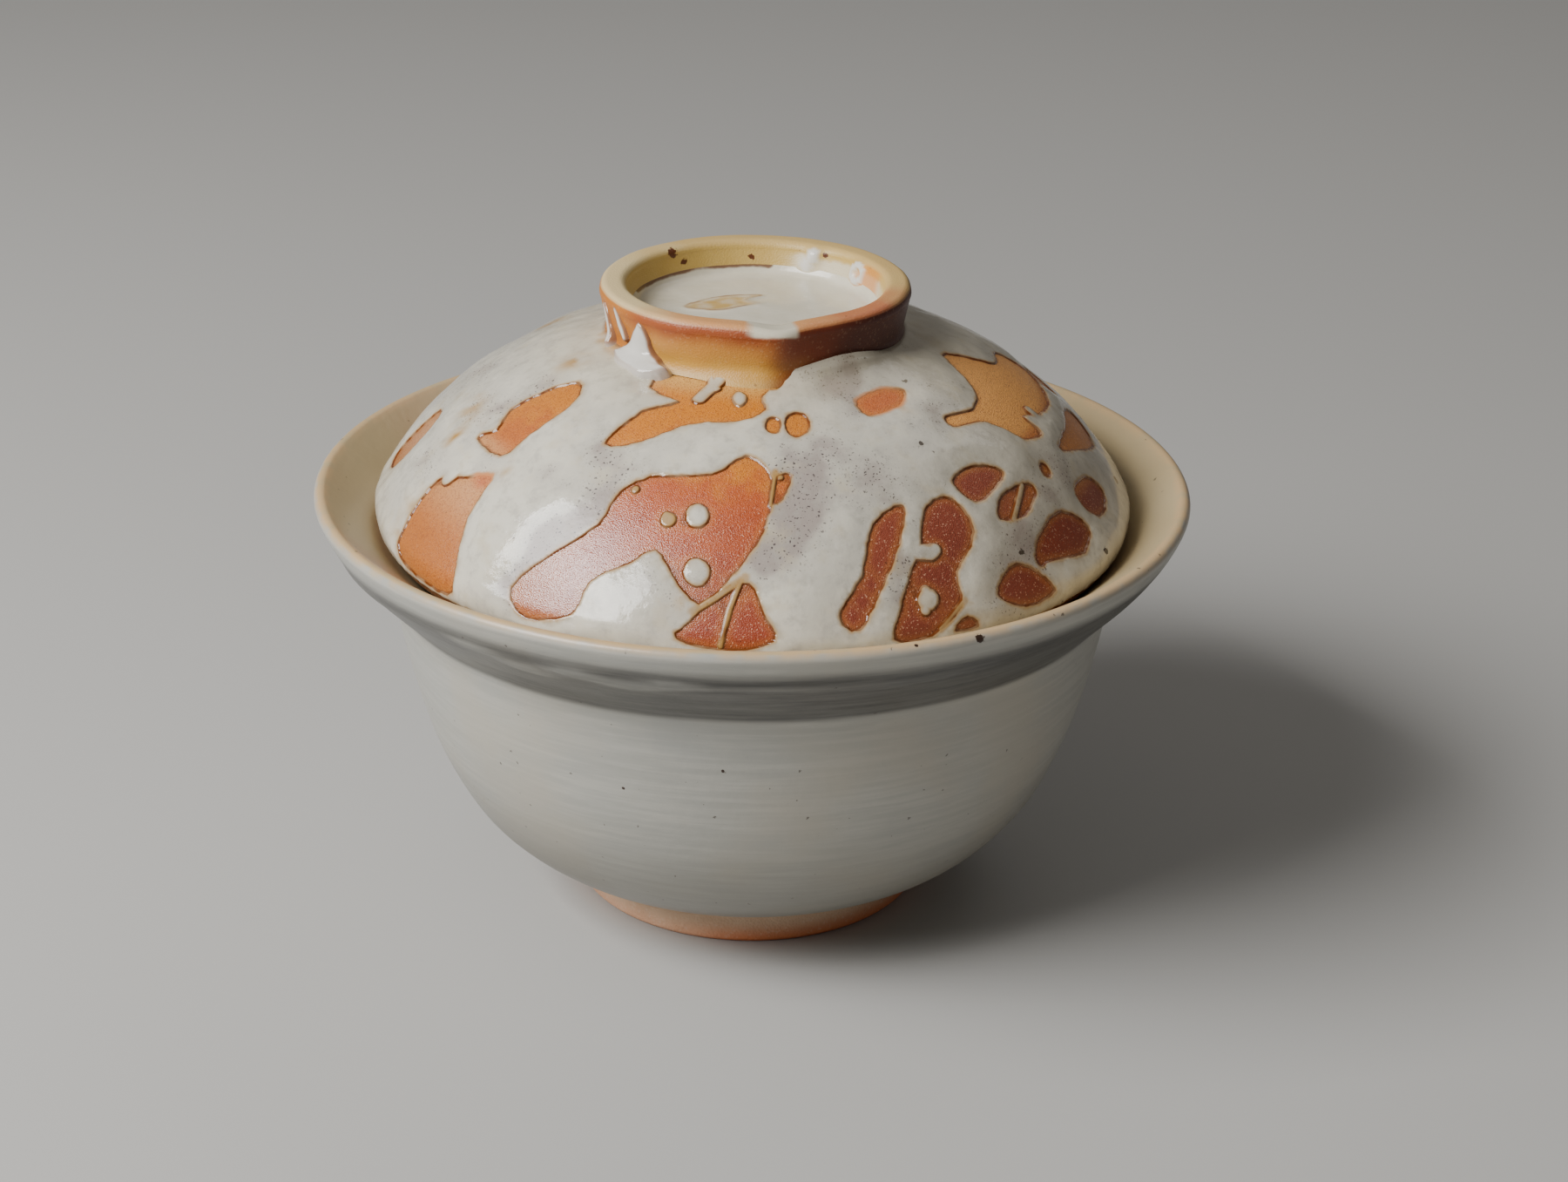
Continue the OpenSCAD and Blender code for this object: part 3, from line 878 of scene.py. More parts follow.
# %% [markdown]
# Solidify closes the skin into a shell, and each point of the shell's outer face is raised by the thickness
# that the glaze has there, falling to nothing in a quarter round at the edge. Just past the edge it dips
# under the clay, so the outline stays crisp. Beside the ring it climbs, most of all on the front right.

# %% White coat: helpers for its shell
SHELL_START = 0.05 * MM


def face_outwards(piece, out):
    """Turns the faces of a skin round if they look against the outward directions at its points."""
    if (point_normals(piece) * out).sum() < 0:
        edit_all(piece)
        bpy.ops.mesh.flip_normals()
        done()


def make_shell(piece, outer, inner):
    """Closes a skin into a shell whose outer and inner points lie at these places."""
    only(piece)
    shell = piece.modifiers.new("shell", "SOLIDIFY")
    shell.thickness = SHELL_START
    shell.offset = -1
    bpy.ops.object.modifier_apply(modifier="shell")
    move_points(piece, np.concatenate([outer, inner]))
    bpy.ops.object.shade_smooth()


def quarter_round(inward, width):
    """Height of a rounded edge, from 0 at the edge to 1 at this width in from it."""
    return np.sqrt(1 - (1 - np.clip(inward / width, 0, 1)) ** 2)


# %% White coat: rolled edges and uneven skin
EDGE_ROLL, SOFT_ROLL = 0.5, 2.0
CLIMB, HIGH_CLIMB, CLIMB_TURN, CLIMB_WIDE, CLIMB_REACH = 0.5, 2.2, 34, 20, 0.9 * MM
DIP, DIP_LIMIT = 0.7, -0.4
LEAST_SHELL, LEAST_SUNK = 0.12, -0.03

at, out = on_dome(points(coat))
face_outwards(coat, out)
edge, thick, stain = coat_field(at)
soft = softness(at)
full = 0.2 + 0.1 * thick + (0.12 + 0.4 * thick) * soft_step(0.2, 4.0, edge)
climb = CLIMB + HIGH_CLIMB * bump_at(turn_of(at), CLIMB_TURN, CLIMB_WIDE)
by_ring = climb * np.exp(-(radius_of(at) - ring_foot_r) / CLIMB_REACH)
lumpy = 0.03 * ripple(at, 2.2 * MM, 7.0)
rolled = (full + lumpy + by_ring) * quarter_round(edge, EDGE_ROLL + SOFT_ROLL * soft)
lift = np.where(edge > 0, rolled, DIP * np.maximum(edge, DIP_LIMIT))
under = np.minimum(lift - LEAST_SHELL, LEAST_SUNK)
make_shell(coat, at + out * (lift * MM)[:, None], at + out * (under * MM)[:, None])
for name, values in (("edge", edge), ("thick", thick), ("stain", stain), ("soft", soft)):
    store(coat, name, np.tile(values, 2))
triangles = sum(len(f.vertices) - 2 for f in coat.data.polygons)
print("white coat:", triangles, "triangles, up to", round(float(lift.max()), 2), "mm thick")

# %% [markdown]
# The coat is a glossy white that changes with its thickness: cream where it is thick, grey with pin specks of
# iron where it is thin. All of that reads the values stored on the points, so it follows the shape.

# %% White coat: cream, grey and pepper
def swing(tree, pattern, reach):
    """Lets a pattern from 0 to 1 swing about nothing, by half the reach each way."""
    return times(tree, maths(tree, "SUBTRACT", pattern, 0.5), reach)


white, tree, shader, place = new_material("crawled_white_glaze", 0.16, IOR=1.52)
axis = axes(tree, place)
edge, thick, soft = attribute(tree, "edge"), attribute(tree, "thick"), attribute(tree, "soft")
clouds = grain(tree, place, 0.005, 4.0, 0.6)
depth = maths(tree, "ADD", thick, swing(tree, clouds, 0.7))
base = mix(tree, ease(tree, depth, 0.05, 0.4), colour(165, 153, 144), colour(202, 196, 181))
base = mix(tree, ease(tree, depth, 0.4, 0.85), base, colour(218, 212, 195))
mottle = grain(tree, place, 0.0022, 4.0, 0.65)
base = mix(tree, ease(tree, mottle, 0.46, 0.72, 0.0, 0.6), base, colour(176, 170, 158))
base = mix(tree, ease(tree, clouds, 0.52, 0.72, 0.0, 0.35), base, colour(192, 176, 142))
pepper = times(tree, scatter(tree, place, 0.00046, 0.8, 0.44), ease(tree, depth, 0.55, 0.2, 0.0, 0.9))
base = mix(tree, pepper, base, colour(70, 62, 64))
base = mix(tree, times(tree, scatter(tree, place, 0.0048, 0.25, 0.085), 0.8), base, colour(46, 38, 34))
COAT_FRECKLES = [((0.0214, -0.0177, 0.0865), 0.0006), ((0.0232, -0.0303, 0.0818), 0.0005),
                 ((0.0158, -0.0415, 0.0775), 0.0004), ((0.0374, -0.0371, 0.0686), 0.0007),
                 ((0.0408, -0.0361, 0.0659), 0.0005), ((0.0536, -0.0053, 0.0670), 0.0009),
                 ((0.0504, -0.0243, 0.0635), 0.0007)]
base = freckled(tree, place, base, COAT_FRECKLES, colour(48, 36, 30))
print("white coat:", len(COAT_FRECKLES), "freckles")

# %% [markdown]
# At its edge the coat is so thin that iron from the clay stains it, first ochre and then a brown line round
# each window. At a soft edge there is no line, and the clay's own colour shines through instead. Round the
# crown the white is a little browner, and on the upper right it is browner and darker, which is painted shade
# of the side away from the light.

# %% White coat: stains and edges
# Painted shade: the upper right of the coat is darker and browner, away from the light.
right_shade_and_tint = times(tree, zone(tree, axis, ("x", 12, 40), ("z", 64, 72)), 0.35)
base = mix(tree, right_shade_and_tint, base, colour(150, 134, 106))
crown = times(tree, zone(tree, axis, ("z", 82, 88.5)), 0.35)
base = mix(tree, crown, base, colour(184, 168, 134))
ochre = colour(178, 136, 72)
base = mix(tree, times(tree, attribute(tree, "stain"), 0.85), base, ochre)
patchy = grain(tree, place, 0.0025, 2.0)
at_edge = maths(tree, "ADD", edge, swing(tree, grain(tree, place, 0.0015), 0.6))
shade = times(tree, ease(tree, at_edge, 1.7, 0.4, 0.0, 0.45), ease(tree, patchy, 0.4, 0.65))
base = mix(tree, shade, base, colour(166, 150, 126))
base = mix(tree, ease(tree, at_edge, 0.8, 0.2, 0.0, 0.7), base, ochre)
line = times(tree, ease(tree, edge, 0.34, 0.14), ease(tree, patchy, 0.3, 0.6, 0.55, 1.0))
firm = maths(tree, "SUBTRACT", 1.0, soft)
base = mix(tree, times(tree, line, firm), base, colour(110, 56, 18))
thinning = times(tree, soft, ease(tree, at_edge, 0.9, 0.1, 0.0, 0.85))
base = mix(tree, thinning, base, colour(206, 132, 84))
paint(tree, shader, base, ease(tree, depth, 0.0, 0.6, 0.3, 0.13))
raise_surface(tree, shader, grain(tree, place, 0.0014, 3.0), 0.00006)
finish_piece(coat, "lid", "lid_glaze", white)

# %% [markdown]
# ## The dome
# Under the coat is the clay of the lid. It shows in the windows as a gritty orange, yellower towards the
# ring and redder lower down, with zones that the flame coloured in its own way. A zone is a mask with soft
# limits, and its colour is mixed over what is there.

# %% Dome: shape
dome = turned("lid_dome", "lid_dome_clay", cuts=1, steps=200)
store(dome, "edge", np.clip(coat_field(points(dome))[0], -9, 9))
store(dome, "soft", softness(on_dome(points(dome))[0]))

# %% Dome: colours of the clay
orange, tree, shader, place = new_material("bare_orange_clay", 0.4, Coat_Weight=1.0, Coat_Roughness=0.16,
                                           Coat_IOR=1.65)
axis = axes(tree, place)
edge, soft = attribute(tree, "edge"), attribute(tree, "soft")
CLAY_GRAIN = 0.00018
gritty = use(tree, grit, {"Place": place, "Size": CLAY_GRAIN})
height_up = maths(tree, "ADD", axis["z"], swing(tree, gritty["Patches"], 0.02))
base = mix(tree, ease(tree, height_up, 0.066, 0.078), colour(156, 64, 32), colour(186, 86, 34))
base = mix(tree, ease(tree, height_up, 0.077, 0.084), base, colour(210, 126, 32))
# Limits of each zone across and up in millimetres, its share and its colour
CLAY_ZONES = {
    "left": ([("x", -18, -45)], 0.65, (210, 130, 48)),
    "peach": ([("x", -30, -40), ("z", 66, 74), ("z", 79, 77.5)], 0.6, (224, 172, 120)),
    "low right": ([("x", 12, 40), ("z", 73.5, 70)], 0.75, (128, 48, 20)),
    "red middle": ([("x", 4, 14), ("x", 42, 34), ("z", 79.5, 77.5)], 0.85, (136, 66, 49)),
    "high right": ([("x", 36, 44), ("z", 69, 72)], 0.8, (204, 130, 44)),
    "top right": ([("x", 21, 27), ("z", 77.5, 78.8)], 0.9, (240, 168, 82)),
}
for limits, share, tint in CLAY_ZONES.values():
    base = mix(tree, times(tree, zone(tree, axis, *limits), share), base, colour(*tint))
base = mix(tree, times(tree, soft, 0.8), base, colour(198, 98, 50))
by_ring = times(tree, zone(tree, axis, ("z", 85.8, 87.2), ("x", 12, 6)), 0.75)
base = mix(tree, by_ring, base, colour(220, 176, 98))
print("clay zones:", ", ".join(CLAY_ZONES))

# %% [markdown]
# A halo of ochre follows the window edges, and single grains are dark, or pale; the pale ones are brightened
# as painted glints, most low on the dome and least on the far left. A trace of glaze vapour sealed the clay, so
# it has a clear coat over its grain, strongest on the left. The roughness drops where a grain glints.

# %% Dome: halo, grains and gloss
halo = times(tree, ease(tree, edge, -1.3, -0.1, 0.0, 0.55), gritty["Patches"])
base = mix(tree, halo, base, colour(204, 134, 62))
rim_line = times(tree, ease(tree, edge, -0.3, 0.0, 0.0, 0.6), maths(tree, "SUBTRACT", 1.0, soft))
base = mix(tree, rim_line, base, colour(110, 56, 24))
base = mix(tree, ease(tree, gritty["Tone"], 0.6, 0.95, 0.0, 0.4), base, colour(124, 50, 26))
# Painted glints: pale grains of the clay, brightened to stand in for glints.
pale_grains_and_glints = times(tree, ease(tree, gritty["Tone"], 0.12, 0.0, 0.0, 0.45),
                ease(tree, axis["z"], 0.0800, 0.0730, 0.25, 1.0),
                ease(tree, axis["x"], -0.036, -0.028, 0.3, 1.0))
base = mix(tree, pale_grains_and_glints, base, colour(240, 186, 150))
base = mix(tree, times(tree, scatter(tree, place, 0.0016, 0.3, 0.16), 0.6), base, colour(76, 34, 22))
glints = times(tree, scatter(tree, place, 0.0009, 0.3, 0.16), 0.32)
paint(tree, shader, base, maths(tree, "SUBTRACT", 0.42, glints))
raise_surface(tree, shader, gritty["Height"], 0.00005)
faint = gritty_height(tree, place, 1 / CLAY_GRAIN)[0]
raise_surface(tree, shader, faint, 0.00003, socket="Coat Normal")
tree.links.new(ease(tree, axis["x"], 0.000, -0.032, 0.15, 1.0), shader.inputs["Coat Weight"])
finish_piece(dome, "lid", "lid_dome", orange)

# %% [markdown]
# ## The ring
# The ring is the lid's grip. It was turned with the lid, pinched out a little at the front right when it was
# picked up wet, and it sweeps into the dome with a small fillet. It could be sculpted, but a few soft hills
# along the turn do the same and stay easy to adjust.

# %% Ring: shape
# Turn, reach and millimetres of the places where the ring was pinched out or pressed in
PINCHES = [(9, 8, 1.15), (-14, 13, -0.4), (34, 12, -0.3)]
FILLET, FRONT_FILLET, FILLET_TALL, FRONT_DROP = 0.8, 1.3, 2.4 * MM, 0.7
ring = turned("lid_ring", "lid_ring_clay", cuts=2, steps=180)
low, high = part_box("lid_ring")
co = points(ring)
r, turn = radius_of(co), turn_of(co)
up = np.clip((co[:, 2] - low.z) / (high.z - low.z), 0, 1)
outer = soft_step(17.5, 20.5, r / MM)
pinch = sum(swell * bump_at(turn, pinch_turn, wide) for pinch_turn, wide, swell in PINCHES)
push = outer * (0.35 + 0.65 * up) * pinch + outer * 0.07 * ripple(co, 3 * MM, 6.0)
front = bump_at(turn, -2, 12)
fillet = np.clip(1 - (co[:, 2] - low.z) / FILLET_TALL, 0, 1) ** 2 * soft_step(20.5, 21.3, r / MM)
push += (FILLET + FRONT_FILLET * front) * fillet
co = push_out(co, push)
sag = 0.08 * ripple(co, 9 * MM, 8.0) - 0.2 + 0.35 * bump_at(turn, 8, 8)
co[:, 2] -= (sag * soft_step(0.75, 1.0, up) * outer + FRONT_DROP * front * fillet) * MM
move_points(ring, co)
no = point_normals(ring)
facing = outward_share(no, co, r)
print("ring: pinched by", round(float(push.max()), 2), "mm")

# %% [markdown]
# Its clay goes from ochre on the left over red brown to dark brown on the right, where the outer wall is
# darkened further as painted shade of the side away from the light. Such zones along the turn are stored on
# the points as shares, with limits that wander a little. White glaze spills over the rim at the pinch, and
# lumps of it stick to the inner wall.

# %% Ring: zones, lumps and spill
loose_turn = turn + 16 * ripple(co, 6 * MM, 2.0) * soft_step(175, 160, np.abs(turn))
far_left = soft_step(-110, -150, loose_turn)
shares = {"left": soft_step(-34, -58, loose_turn), "front": soft_step(-52, -22, loose_turn),
          "middle": soft_step(-10, 18, loose_turn), "right": soft_step(16, 44, loose_turn),
          "back": np.maximum(soft_step(80, 150, loose_turn), far_left),
          "rim_back": np.maximum(soft_step(58, 92, loose_turn), far_left),
          "orange_side": soft_step(88, 106, loose_turn) * soft_step(126, 114, loose_turn),
          "washed": soft_step(76, 96, loose_turn) * soft_step(172, 156, loose_turn),
          "up": up, "outside": soft_step(-0.3, 0.3, facing),
          "rim": soft_step(0.86, 0.95, up) * soft_step(0.3, 0.75, no[:, 2])}
spill_edge = 1.1 * ripple(co, 1.6 * MM, 3.0) + (turn - 6.5) / 1.2
# Turn, height, radius of the loop, half width and height of the lumps of white on the inner wall
LUMPS = [(151.8, 94.1, 0, 1.25, 0.9), (155, 92.6, 0, 1.2, 0.4), (124, 93.3, 1.2, 0.55, 0.6)]
INNER_R = 18.5
shares["lumps"] = np.zeros(len(co))
for lump_turn, lump_z, loop, wide, tall in LUMPS:
    around_it = np.hypot(np.radians(turn - lump_turn) * INNER_R, co[:, 2] / MM - lump_z)
    hill = bump_at(around_it, loop, wide) * soft_step(0.2, -0.2, facing)
    co[:, :2] -= (hill * tall * MM / np.maximum(r, ON_AXIS))[:, None] * co[:, :2]
    shares["lumps"] = np.maximum(shares["lumps"], soft_step(0.35, 0.6, hill))
move_points(ring, co)
over_rim = soft_step(0.82, 0.9, up + 0.03 * ripple(co, 1.2 * MM, 5.0))
shares["spill"] = soft_step(7.6, 6.4, np.abs(spill_edge)) * over_rim
for name, share in shares.items():
    store(ring, name, share)
print("ring: zones", ", ".join(shares))

# %% Ring: finish
ring_clay, tree, shader, place = new_material("ring_clay", 0.42)
gritty = use(tree, grit, {"Place": place, "Size": 0.00028})
zones = {name: attribute(tree, name) for name in shares}
height_up = maths(tree, "ADD", zones["up"], swing(tree, gritty["Patches"], 0.3))
wall = mix(tree, ease(tree, height_up, 0.15, 0.6), colour(196, 146, 58), colour(198, 136, 60))
wall = mix(tree, ease(tree, height_up, 0.5, 0.85, 0.0, 0.9), wall, colour(150, 64, 26))
wall = mix(tree, ease(tree, zones["up"], 0.14, 0.02, 0.0, 0.6), wall, colour(204, 168, 102))
wall = mix(tree, zones["left"], wall, colour(184, 112, 38))
wall = mix(tree, zones["middle"], wall, colour(122, 52, 22))
# Painted shade: the dark brown of the outer wall on the right is partly the clay's colour, partly shade away
# from the light.
wall = mix(tree, zones["right"], wall, colour(80, 28, 10))
wall = mix(tree, zones["back"], wall, colour(182, 114, 48))
inner_wall = mix(tree, gritty["Patches"], colour(186, 150, 72), colour(208, 178, 104))
wash = times(tree, zones["washed"], ease(tree, height_up, 0.86, 0.76, 0.0, 0.8))
inner_wall = mix(tree, wash, inner_wall, colour(218, 208, 182))
inner_wall = mix(tree, times(tree, zones["orange_side"], 0.7), inner_wall, colour(214, 128, 34))
base = mix(tree, zones["outside"], inner_wall, wall)
rim_tint = mix(tree, zones["front"], colour(220, 198, 148), colour(212, 152, 96))
rim_tint = mix(tree, zones["right"], rim_tint, colour(196, 116, 74))
rim_tint = mix(tree, zones["rim_back"], rim_tint, colour(206, 174, 110))
base = mix(tree, times(tree, zones["rim"], 0.9), base, rim_tint)
base = mix(tree, zones["spill"], base, colour(206, 198, 176))
base = mix(tree, zones["lumps"], base, colour(222, 218, 208))
base = mix(tree, times(tree, gritty["Pale grains"], 0.1), base, colour(226, 190, 150))
base = mix(tree, times(tree, scatter(tree, place, 0.0021, 0.22, 0.13), 0.5), base, colour(84, 46, 26))
RING_FRECKLES = [((-0.0125, 0.0142, 0.0949), 0.0010), ((-0.0108, 0.0149, 0.0932), 0.0006),
                 ((-0.0007, 0.0183, 0.0930), 0.0006), ((0.0105, 0.0155, 0.0944), 0.0005)]
base = freckled(tree, place, base, RING_FRECKLES, colour(92, 46, 14))
glazed = maths(tree, "MAXIMUM", zones["spill"], zones["lumps"])
paint(tree, shader, base, maths(tree, "SUBTRACT", 0.45, times(tree, glazed, 0.3)))
raise_surface(tree, shader, gritty["Height"], 0.00003, maths(tree, "SUBTRACT", 1.0, glazed))
finish_piece(ring, "lid", "lid_ring", ring_clay)

# %% [markdown]
# ## The pool in the ring
# Glaze ran together in the dish of the ring. The potter's last touch shows through it as an ochre leaf with a
# raised edge. A picture could be painted there, but an outline gives both the relief and the colour: each
# point stores how far inside it lies. A brown line marks where the pool wets the wall.

# %% Pool: helpers for its outline
FAR_AWAY, NO_LENGTH = 1e9, 1e-12


def smooth_outline(outline, steps=8):
    """A closed curve through the outline's points."""
    p = np.array(outline, float)
    a, b, c, d = (x[:, None, :] for x in (np.roll(p, 1, 0), p, np.roll(p, -1, 0), np.roll(p, -2, 0)))
    t = (np.arange(steps) / steps)[None, :, None]
    first = (c - a) / 2
    second = (2 * a - 5 * b + 4 * c - d) / 2
    third = (3 * b - a - 3 * c + d) / 2
    return (b + t * (first + t * (second + t * third))).reshape(-1, 2)


def depth_inside(uv, outline):
    """Distance in from the outline in millimetres, negative outside it."""
    best, inside = np.full(len(uv), FAR_AWAY), np.zeros(len(uv), bool)
    for p, q in zip(outline, np.roll(outline, -1, 0)):
        t = np.clip(((uv - p) @ (q - p)) / max((q - p) @ (q - p), NO_LENGTH), 0, 1)
        best = np.minimum(best, np.linalg.norm(uv - p - t[:, None] * (q - p), axis=1))
        crosses = (p[1] > uv[:, 1]) != (q[1] > uv[:, 1])
        rise = q[1] - p[1] if q[1] != p[1] else NO_LENGTH
        inside ^= crosses & (uv[:, 0] < p[0] + (uv[:, 1] - p[1]) * (q[0] - p[0]) / rise)
    return np.where(inside, best, -best)


# %% Pool: shape
# Outline of the swirl, as places across and back from the axis in millimetres
SWIRL = [(-10.3, 0.9), (-7.8, 3.8), (-4.8, 5.7), (-1.8, 6.6), (0.8, 6.5), (-0.8, 5.2), (-1.4, 3.6),
         (0.6, 2.4), (-2.2, 1.0), (-4.7, -0.6), (-7.4, -0.6)]
pool = turned("lid_ring_glaze", "ring_pool", cuts=2, steps=150)
co = points(pool)
r, turn = radius_of(co) / MM, turn_of(co)
top_side = soft_step(0.2, 0.5, point_normals(pool)[:, 2])
leaf = depth_inside(co[:, :2] / MM, smooth_outline(SWIRL)) + 0.2 * ripple(co, 1.5 * MM, 4.0)
mound = 0.16 * bump_at(leaf, 0, 0.55) + 0.1 * bump_at(r, 3, 2.5) + 0.06 * ripple(co, 4 * MM, 3.0)
co[:, 2] += top_side * mound * MM
move_points(pool, co)
store(pool, "swirl", leaf)
back_left = np.maximum(soft_step(-92, -106, turn), soft_step(164, 174, turn))
store(pool, "wall", soft_step(16.8, 18.0, r) * back_left)
print("pool: swirl raised", round(float(mound.max()), 2), "mm")

# %% Pool: finish
pool_glaze, tree, shader, place = new_material("pooled_glaze", 0.2, IOR=1.52)
clouds = grain(tree, place, 0.005, 3.0, 0.55)
base = mix(tree, clouds, colour(200, 192, 170), colour(224, 217, 198))
swirl = attribute(tree, "swirl")
streaks = ease(tree, grain(tree, place, 0.0022, 3.0), 0.35, 0.65, 0.4, 0.9)
base = mix(tree, times(tree, ease(tree, swirl, -0.9, 1.2), streaks), base, colour(196, 156, 78))
outline = times(tree, ease(tree, swirl, -0.5, 0.0), ease(tree, swirl, 0.5, 0.0))
outline = times(tree, outline, ease(tree, clouds, 0.35, 0.6, 0.1, 0.75))
base = mix(tree, outline, base, colour(146, 98, 40))
by_wall = maths(tree, "ADD", attribute(tree, "wall"), swing(tree, clouds, 0.5))
base = mix(tree, ease(tree, by_wall, 0.82, 0.98, 0.0, 0.9), base, colour(104, 64, 30))
base = mix(tree, times(tree, scatter(tree, place, 0.004, 0.2, 0.09), 0.7), base, colour(70, 50, 36))
paint(tree, shader, base)
raise_surface(tree, shader, grain(tree, place, 0.002), 0.00006)
finish_piece(pool, "lid", "lid_ring_glaze", pool_glaze)

# %% [markdown]
# ## The lid's lining
# Inside, the lid has the bowl's own thin glaze, so it takes the same material. It only shows when the lid is
# lifted, but it is thrown too, and gets the same faint rings.

# %% Lining
LINING_DEPTH = 0.07
lining = turned("lid_lining", "lid_lining_skin", cuts=0, steps=150)
co = points(lining)
r = radius_of(co)
waves = ripple(np.c_[co[:, 0] * 0.2, co[:, 1] * 0.2, co[:, 2]], 1.8 * MM, 5.0)
move_points(lining, push_out(co, LINING_DEPTH * waves * soft_step(4, 12, r / MM)))
store(lining, "inside", np.full(len(co), 0.8))
store(lining, "marks", np.zeros(len(co)))
store(lining, "lip", soft_step(47.5, 49.6, r / MM) * 0.9)
finish_piece(lining, "lid", "lid_lining", satin)

# %% [markdown]
# ## Drips on the ring
# White glaze splashed over the corner of ring and dome on the left: a star with a tall point, and two pale
# runs beside it. A line down the ring's wall and out over the dome is spun through the part of a turn that
# they cover. Each drip is an outline on that strip, in degrees of turn and millimetres down the line, and the
# strip is raised inside the outlines and cut away outside them.

# %% Drips: strip of surface
# Radius and height of the line in millimetres, from the ring's rim out over the dome
STRIP_LINE = [(22.5, 94.7), (22.3, 92.5), (22.1, 90.5), (22.2, 89.3), (22.9, 88.4), (24.2, 87.75),
              (26.6, 87.1)]
STRIP_FROM, STRIP_TO, STRIP_STEPS = -86, -26, 150
start = Matrix.Rotation(math.radians(STRIP_FROM), 3, "Z")
line = [start @ Vector((0, -r * MM, z * MM)) for r, z in STRIP_LINE]
bpy.ops.object.select_all(action="DESELECT")
bpy.ops.mesh.primitive_plane_add(size=MM, location=(0, 0, 0))
drips = bpy.context.active_object
drips.name = "ring_drips"
edit_all(drips)
bpy.ops.mesh.merge(type="CENTER")
bpy.ops.transform.translate(value=line[0])
for here, there in zip(line, line[1:]):
    bpy.ops.mesh.extrude_region_move(TRANSFORM_OT_translate={"value": there - here})
done()
smooth_level(drips, 4)
edit_all(drips)
strip_angle = math.radians(STRIP_FROM - STRIP_TO)
bpy.ops.mesh.spin(steps=STRIP_STEPS, angle=strip_angle, center=(0, 0, 0), axis=(0, 0, 1))
merge_doubles()
done()
covered = turn_of(points(drips))
print("strip:", len(drips.data.polygons), "faces, turns", covered.min().round(), covered.max().round())

# %% Drips: outlines and relief
# Turn and millimetres down the line of each outline, then the drip's height and the width of its rounded edge
STAR = [(-46.5, 0.8), (-42.4, 2.2), (-40.6, 4.6), (-36.5, 6.0), (-31.8, 6.9), (-35, 8.4), (-40.5, 9.3),
        (-46, 8.8), (-51.5, 8.4), (-58.5, 7.2), (-56, 5.6), (-52.4, 4.3), (-49.4, 2.2)]
RUN_A = [(-63.2, 0.4), (-60.4, 0.3), (-56.4, 2.6), (-54.6, 4.4), (-57.2, 4.8), (-61.2, 2.6)]
RUN_B = [(-75, 1.2), (-72.4, 1.0), (-68.4, 3.6), (-65.8, 6.2), (-68.6, 6.8), (-72.8, 4.0)]
DRIPS = [(STAR, 0.85, 1.9), (RUN_A, 0.4, 0.8), (RUN_B, 0.4, 0.8)]
# Radius at which turns are unrolled to millimetres, and how far out the strip is kept
UNROLL, KEPT = 22.6, -0.5
DRIP_DIP, DRIP_SHELL, DRIP_SUNK = 4.0, 0.3, -0.4
down = np.r_[0, np.cumsum(np.hypot(*np.diff(np.array(STRIP_LINE), axis=0).T))]


def drip_field(co):
    """Millimetres in from the edge of the nearest drip, and the height of the glaze there."""
    fall = np.interp(-co[:, 2] / MM, [-z for r, z in STRIP_LINE], down)
    uv = np.c_[np.radians(turn_of(co)) * UNROLL, fall]
    inward, raised = np.full(len(co), -9.0), np.zeros(len(co))
    for outline, height, width in DRIPS:
        curve = smooth_outline(outline) * [math.radians(UNROLL), 1]
        depth = depth_inside(uv, curve) + 0.12 * ripple(co, 1.2 * MM, 2.0)
        raised = np.maximum(raised, height * quarter_round(depth, width))
        inward = np.maximum(inward, depth)
    return inward, np.where(inward > 0, raised, DRIP_DIP * np.maximum(inward, KEPT))


select_points(drips, drip_field(points(drips))[0] < KEPT)
bpy.ops.mesh.delete(type="VERT")
select_all()
bpy.ops.mesh.delete_loose()
done()
co = points(drips)
face_outwards(drips, co * [1, 1, 0])
no = point_normals(drips)
inward, raised = drip_field(co)
under = np.minimum(raised - DRIP_SHELL, DRIP_SUNK)
make_shell(drips, co + no * (raised * MM)[:, None], co + no * (under * MM)[:, None])
store(drips, "edge", np.tile(inward, 2))
print("drips:", len(drips.data.polygons), "faces, up to", round(float(raised.max()), 2), "mm high")

# %% [markdown]
# The drips are the whitest and glossiest glaze on the lid. On the ring's wall they are stained brown along
# their edges, and over the dome hardly at all, where they join the coat. They have no node of their own in
# the part, so they only ride on the lid.

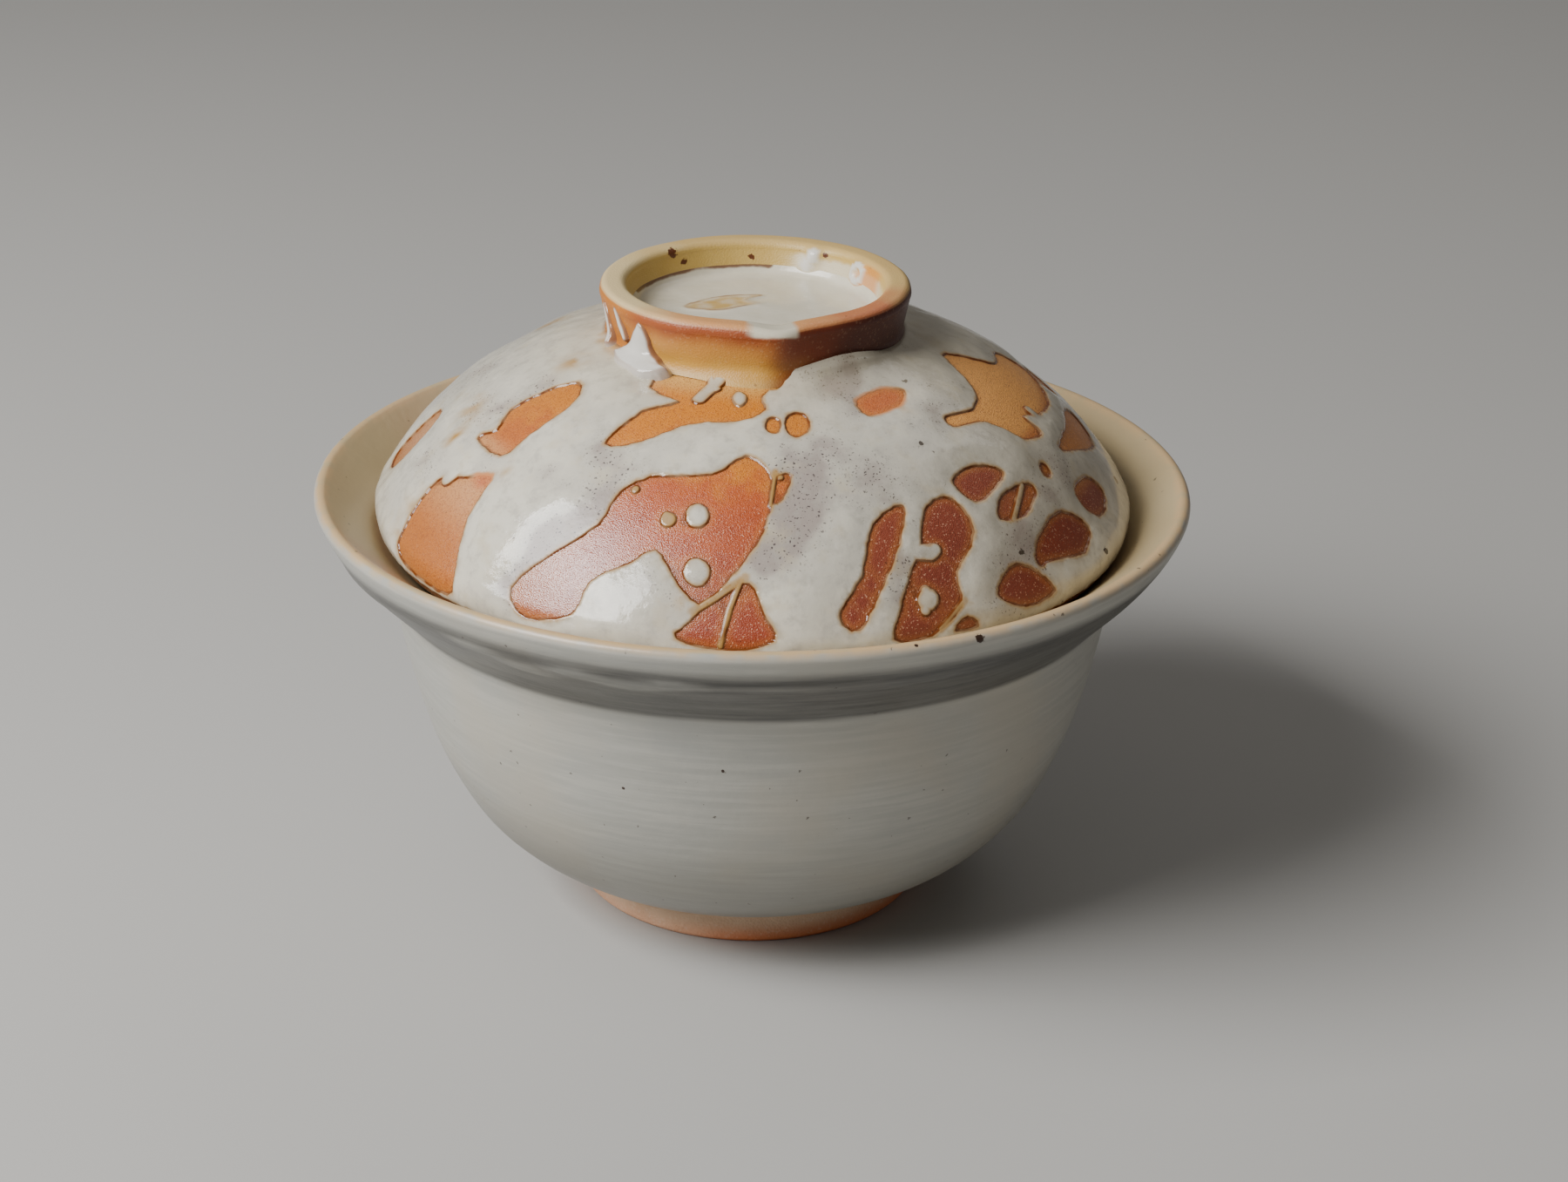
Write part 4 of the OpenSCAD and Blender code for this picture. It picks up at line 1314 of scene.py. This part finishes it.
# %% Drips: finish
drip_glaze, tree, shader, place = new_material("dripped_white_glaze", 0.1, IOR=1.52)
base = mix(tree, grain(tree, place, 0.003, 3.0), colour(204, 199, 188), colour(224, 221, 213))
on_wall = ease(tree, axes(tree, place)["z"], 0.0876, 0.0890, 0.15, 0.9)
border = times(tree, ease(tree, attribute(tree, "edge"), 0.6, 0.15), on_wall)
base = mix(tree, border, base, colour(140, 84, 34))
paint(tree, shader, base)
raise_surface(tree, shader, grain(tree, place, 0.0016), 0.00004)
dress(drips, drip_glaze)
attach(drips, "lid")

# %% [markdown]
# ## Floor and light
# The floor is a plain pale plane. The photograph's light is one broad window to the left and in front, at
# about forty degrees up: that is where the mirror direction of the highlights on the lid points. A small lamp
# would give hard glints there, so an area light stands for the window. A weak one lifts the back, and a pale
# world fills the shadows.

# %% Floor
FLOOR_SIZE, FLOOR_Z = 8, -0.0001
bpy.ops.object.select_all(action="DESELECT")
bpy.ops.mesh.primitive_plane_add(size=FLOOR_SIZE, location=(0, 0, FLOOR_Z))
floor = bpy.context.active_object
floor.name = "floor"
floor_paint, tree, shader, place = new_material("pale_floor", 0.7)
shader.inputs["Base Color"].default_value = colour(186, 184, 180)
dress(floor, floor_paint)

# %% Light
WORLD_TINT, WORLD_STRENGTH = (1.0, 0.97, 0.92, 1), 0.14
MIDDLE_OF_BOWL = Vector((0, 0, 0.05))


def softbox(name, turn, rise, distance, width, height, watts):
    """An area light that looks at the bowl from a turn and a rise in degrees."""
    lamp = bpy.data.objects.new(name, bpy.data.lights.new(name, "AREA"))
    lamp.data.shape = "RECTANGLE"
    lamp.data.size, lamp.data.size_y = width, height
    lamp.data.energy = watts
    turn, rise = math.radians(turn), math.radians(rise)
    out = Vector((math.sin(turn) * math.cos(rise), -math.cos(turn) * math.cos(rise), math.sin(rise)))
    lamp.location = MIDDLE_OF_BOWL + distance * out
    lamp.rotation_euler = out.to_track_quat("Z", "Y").to_euler()
    bpy.context.scene.collection.objects.link(lamp)
    print("light:", name, watts, "W")


softbox("window_light", turn=-60, rise=40, distance=0.9, width=0.6, height=0.42, watts=13.4)
softbox("back_fill", turn=150, rise=50, distance=1.2, width=0.8, height=0.5, watts=1.0)
world = bpy.data.worlds.new("studio")
world.use_nodes = True
sky = world.node_tree.nodes["Background"].inputs
sky["Color"].default_value = WORLD_TINT
sky["Strength"].default_value = WORLD_STRENGTH
bpy.context.scene.world = world
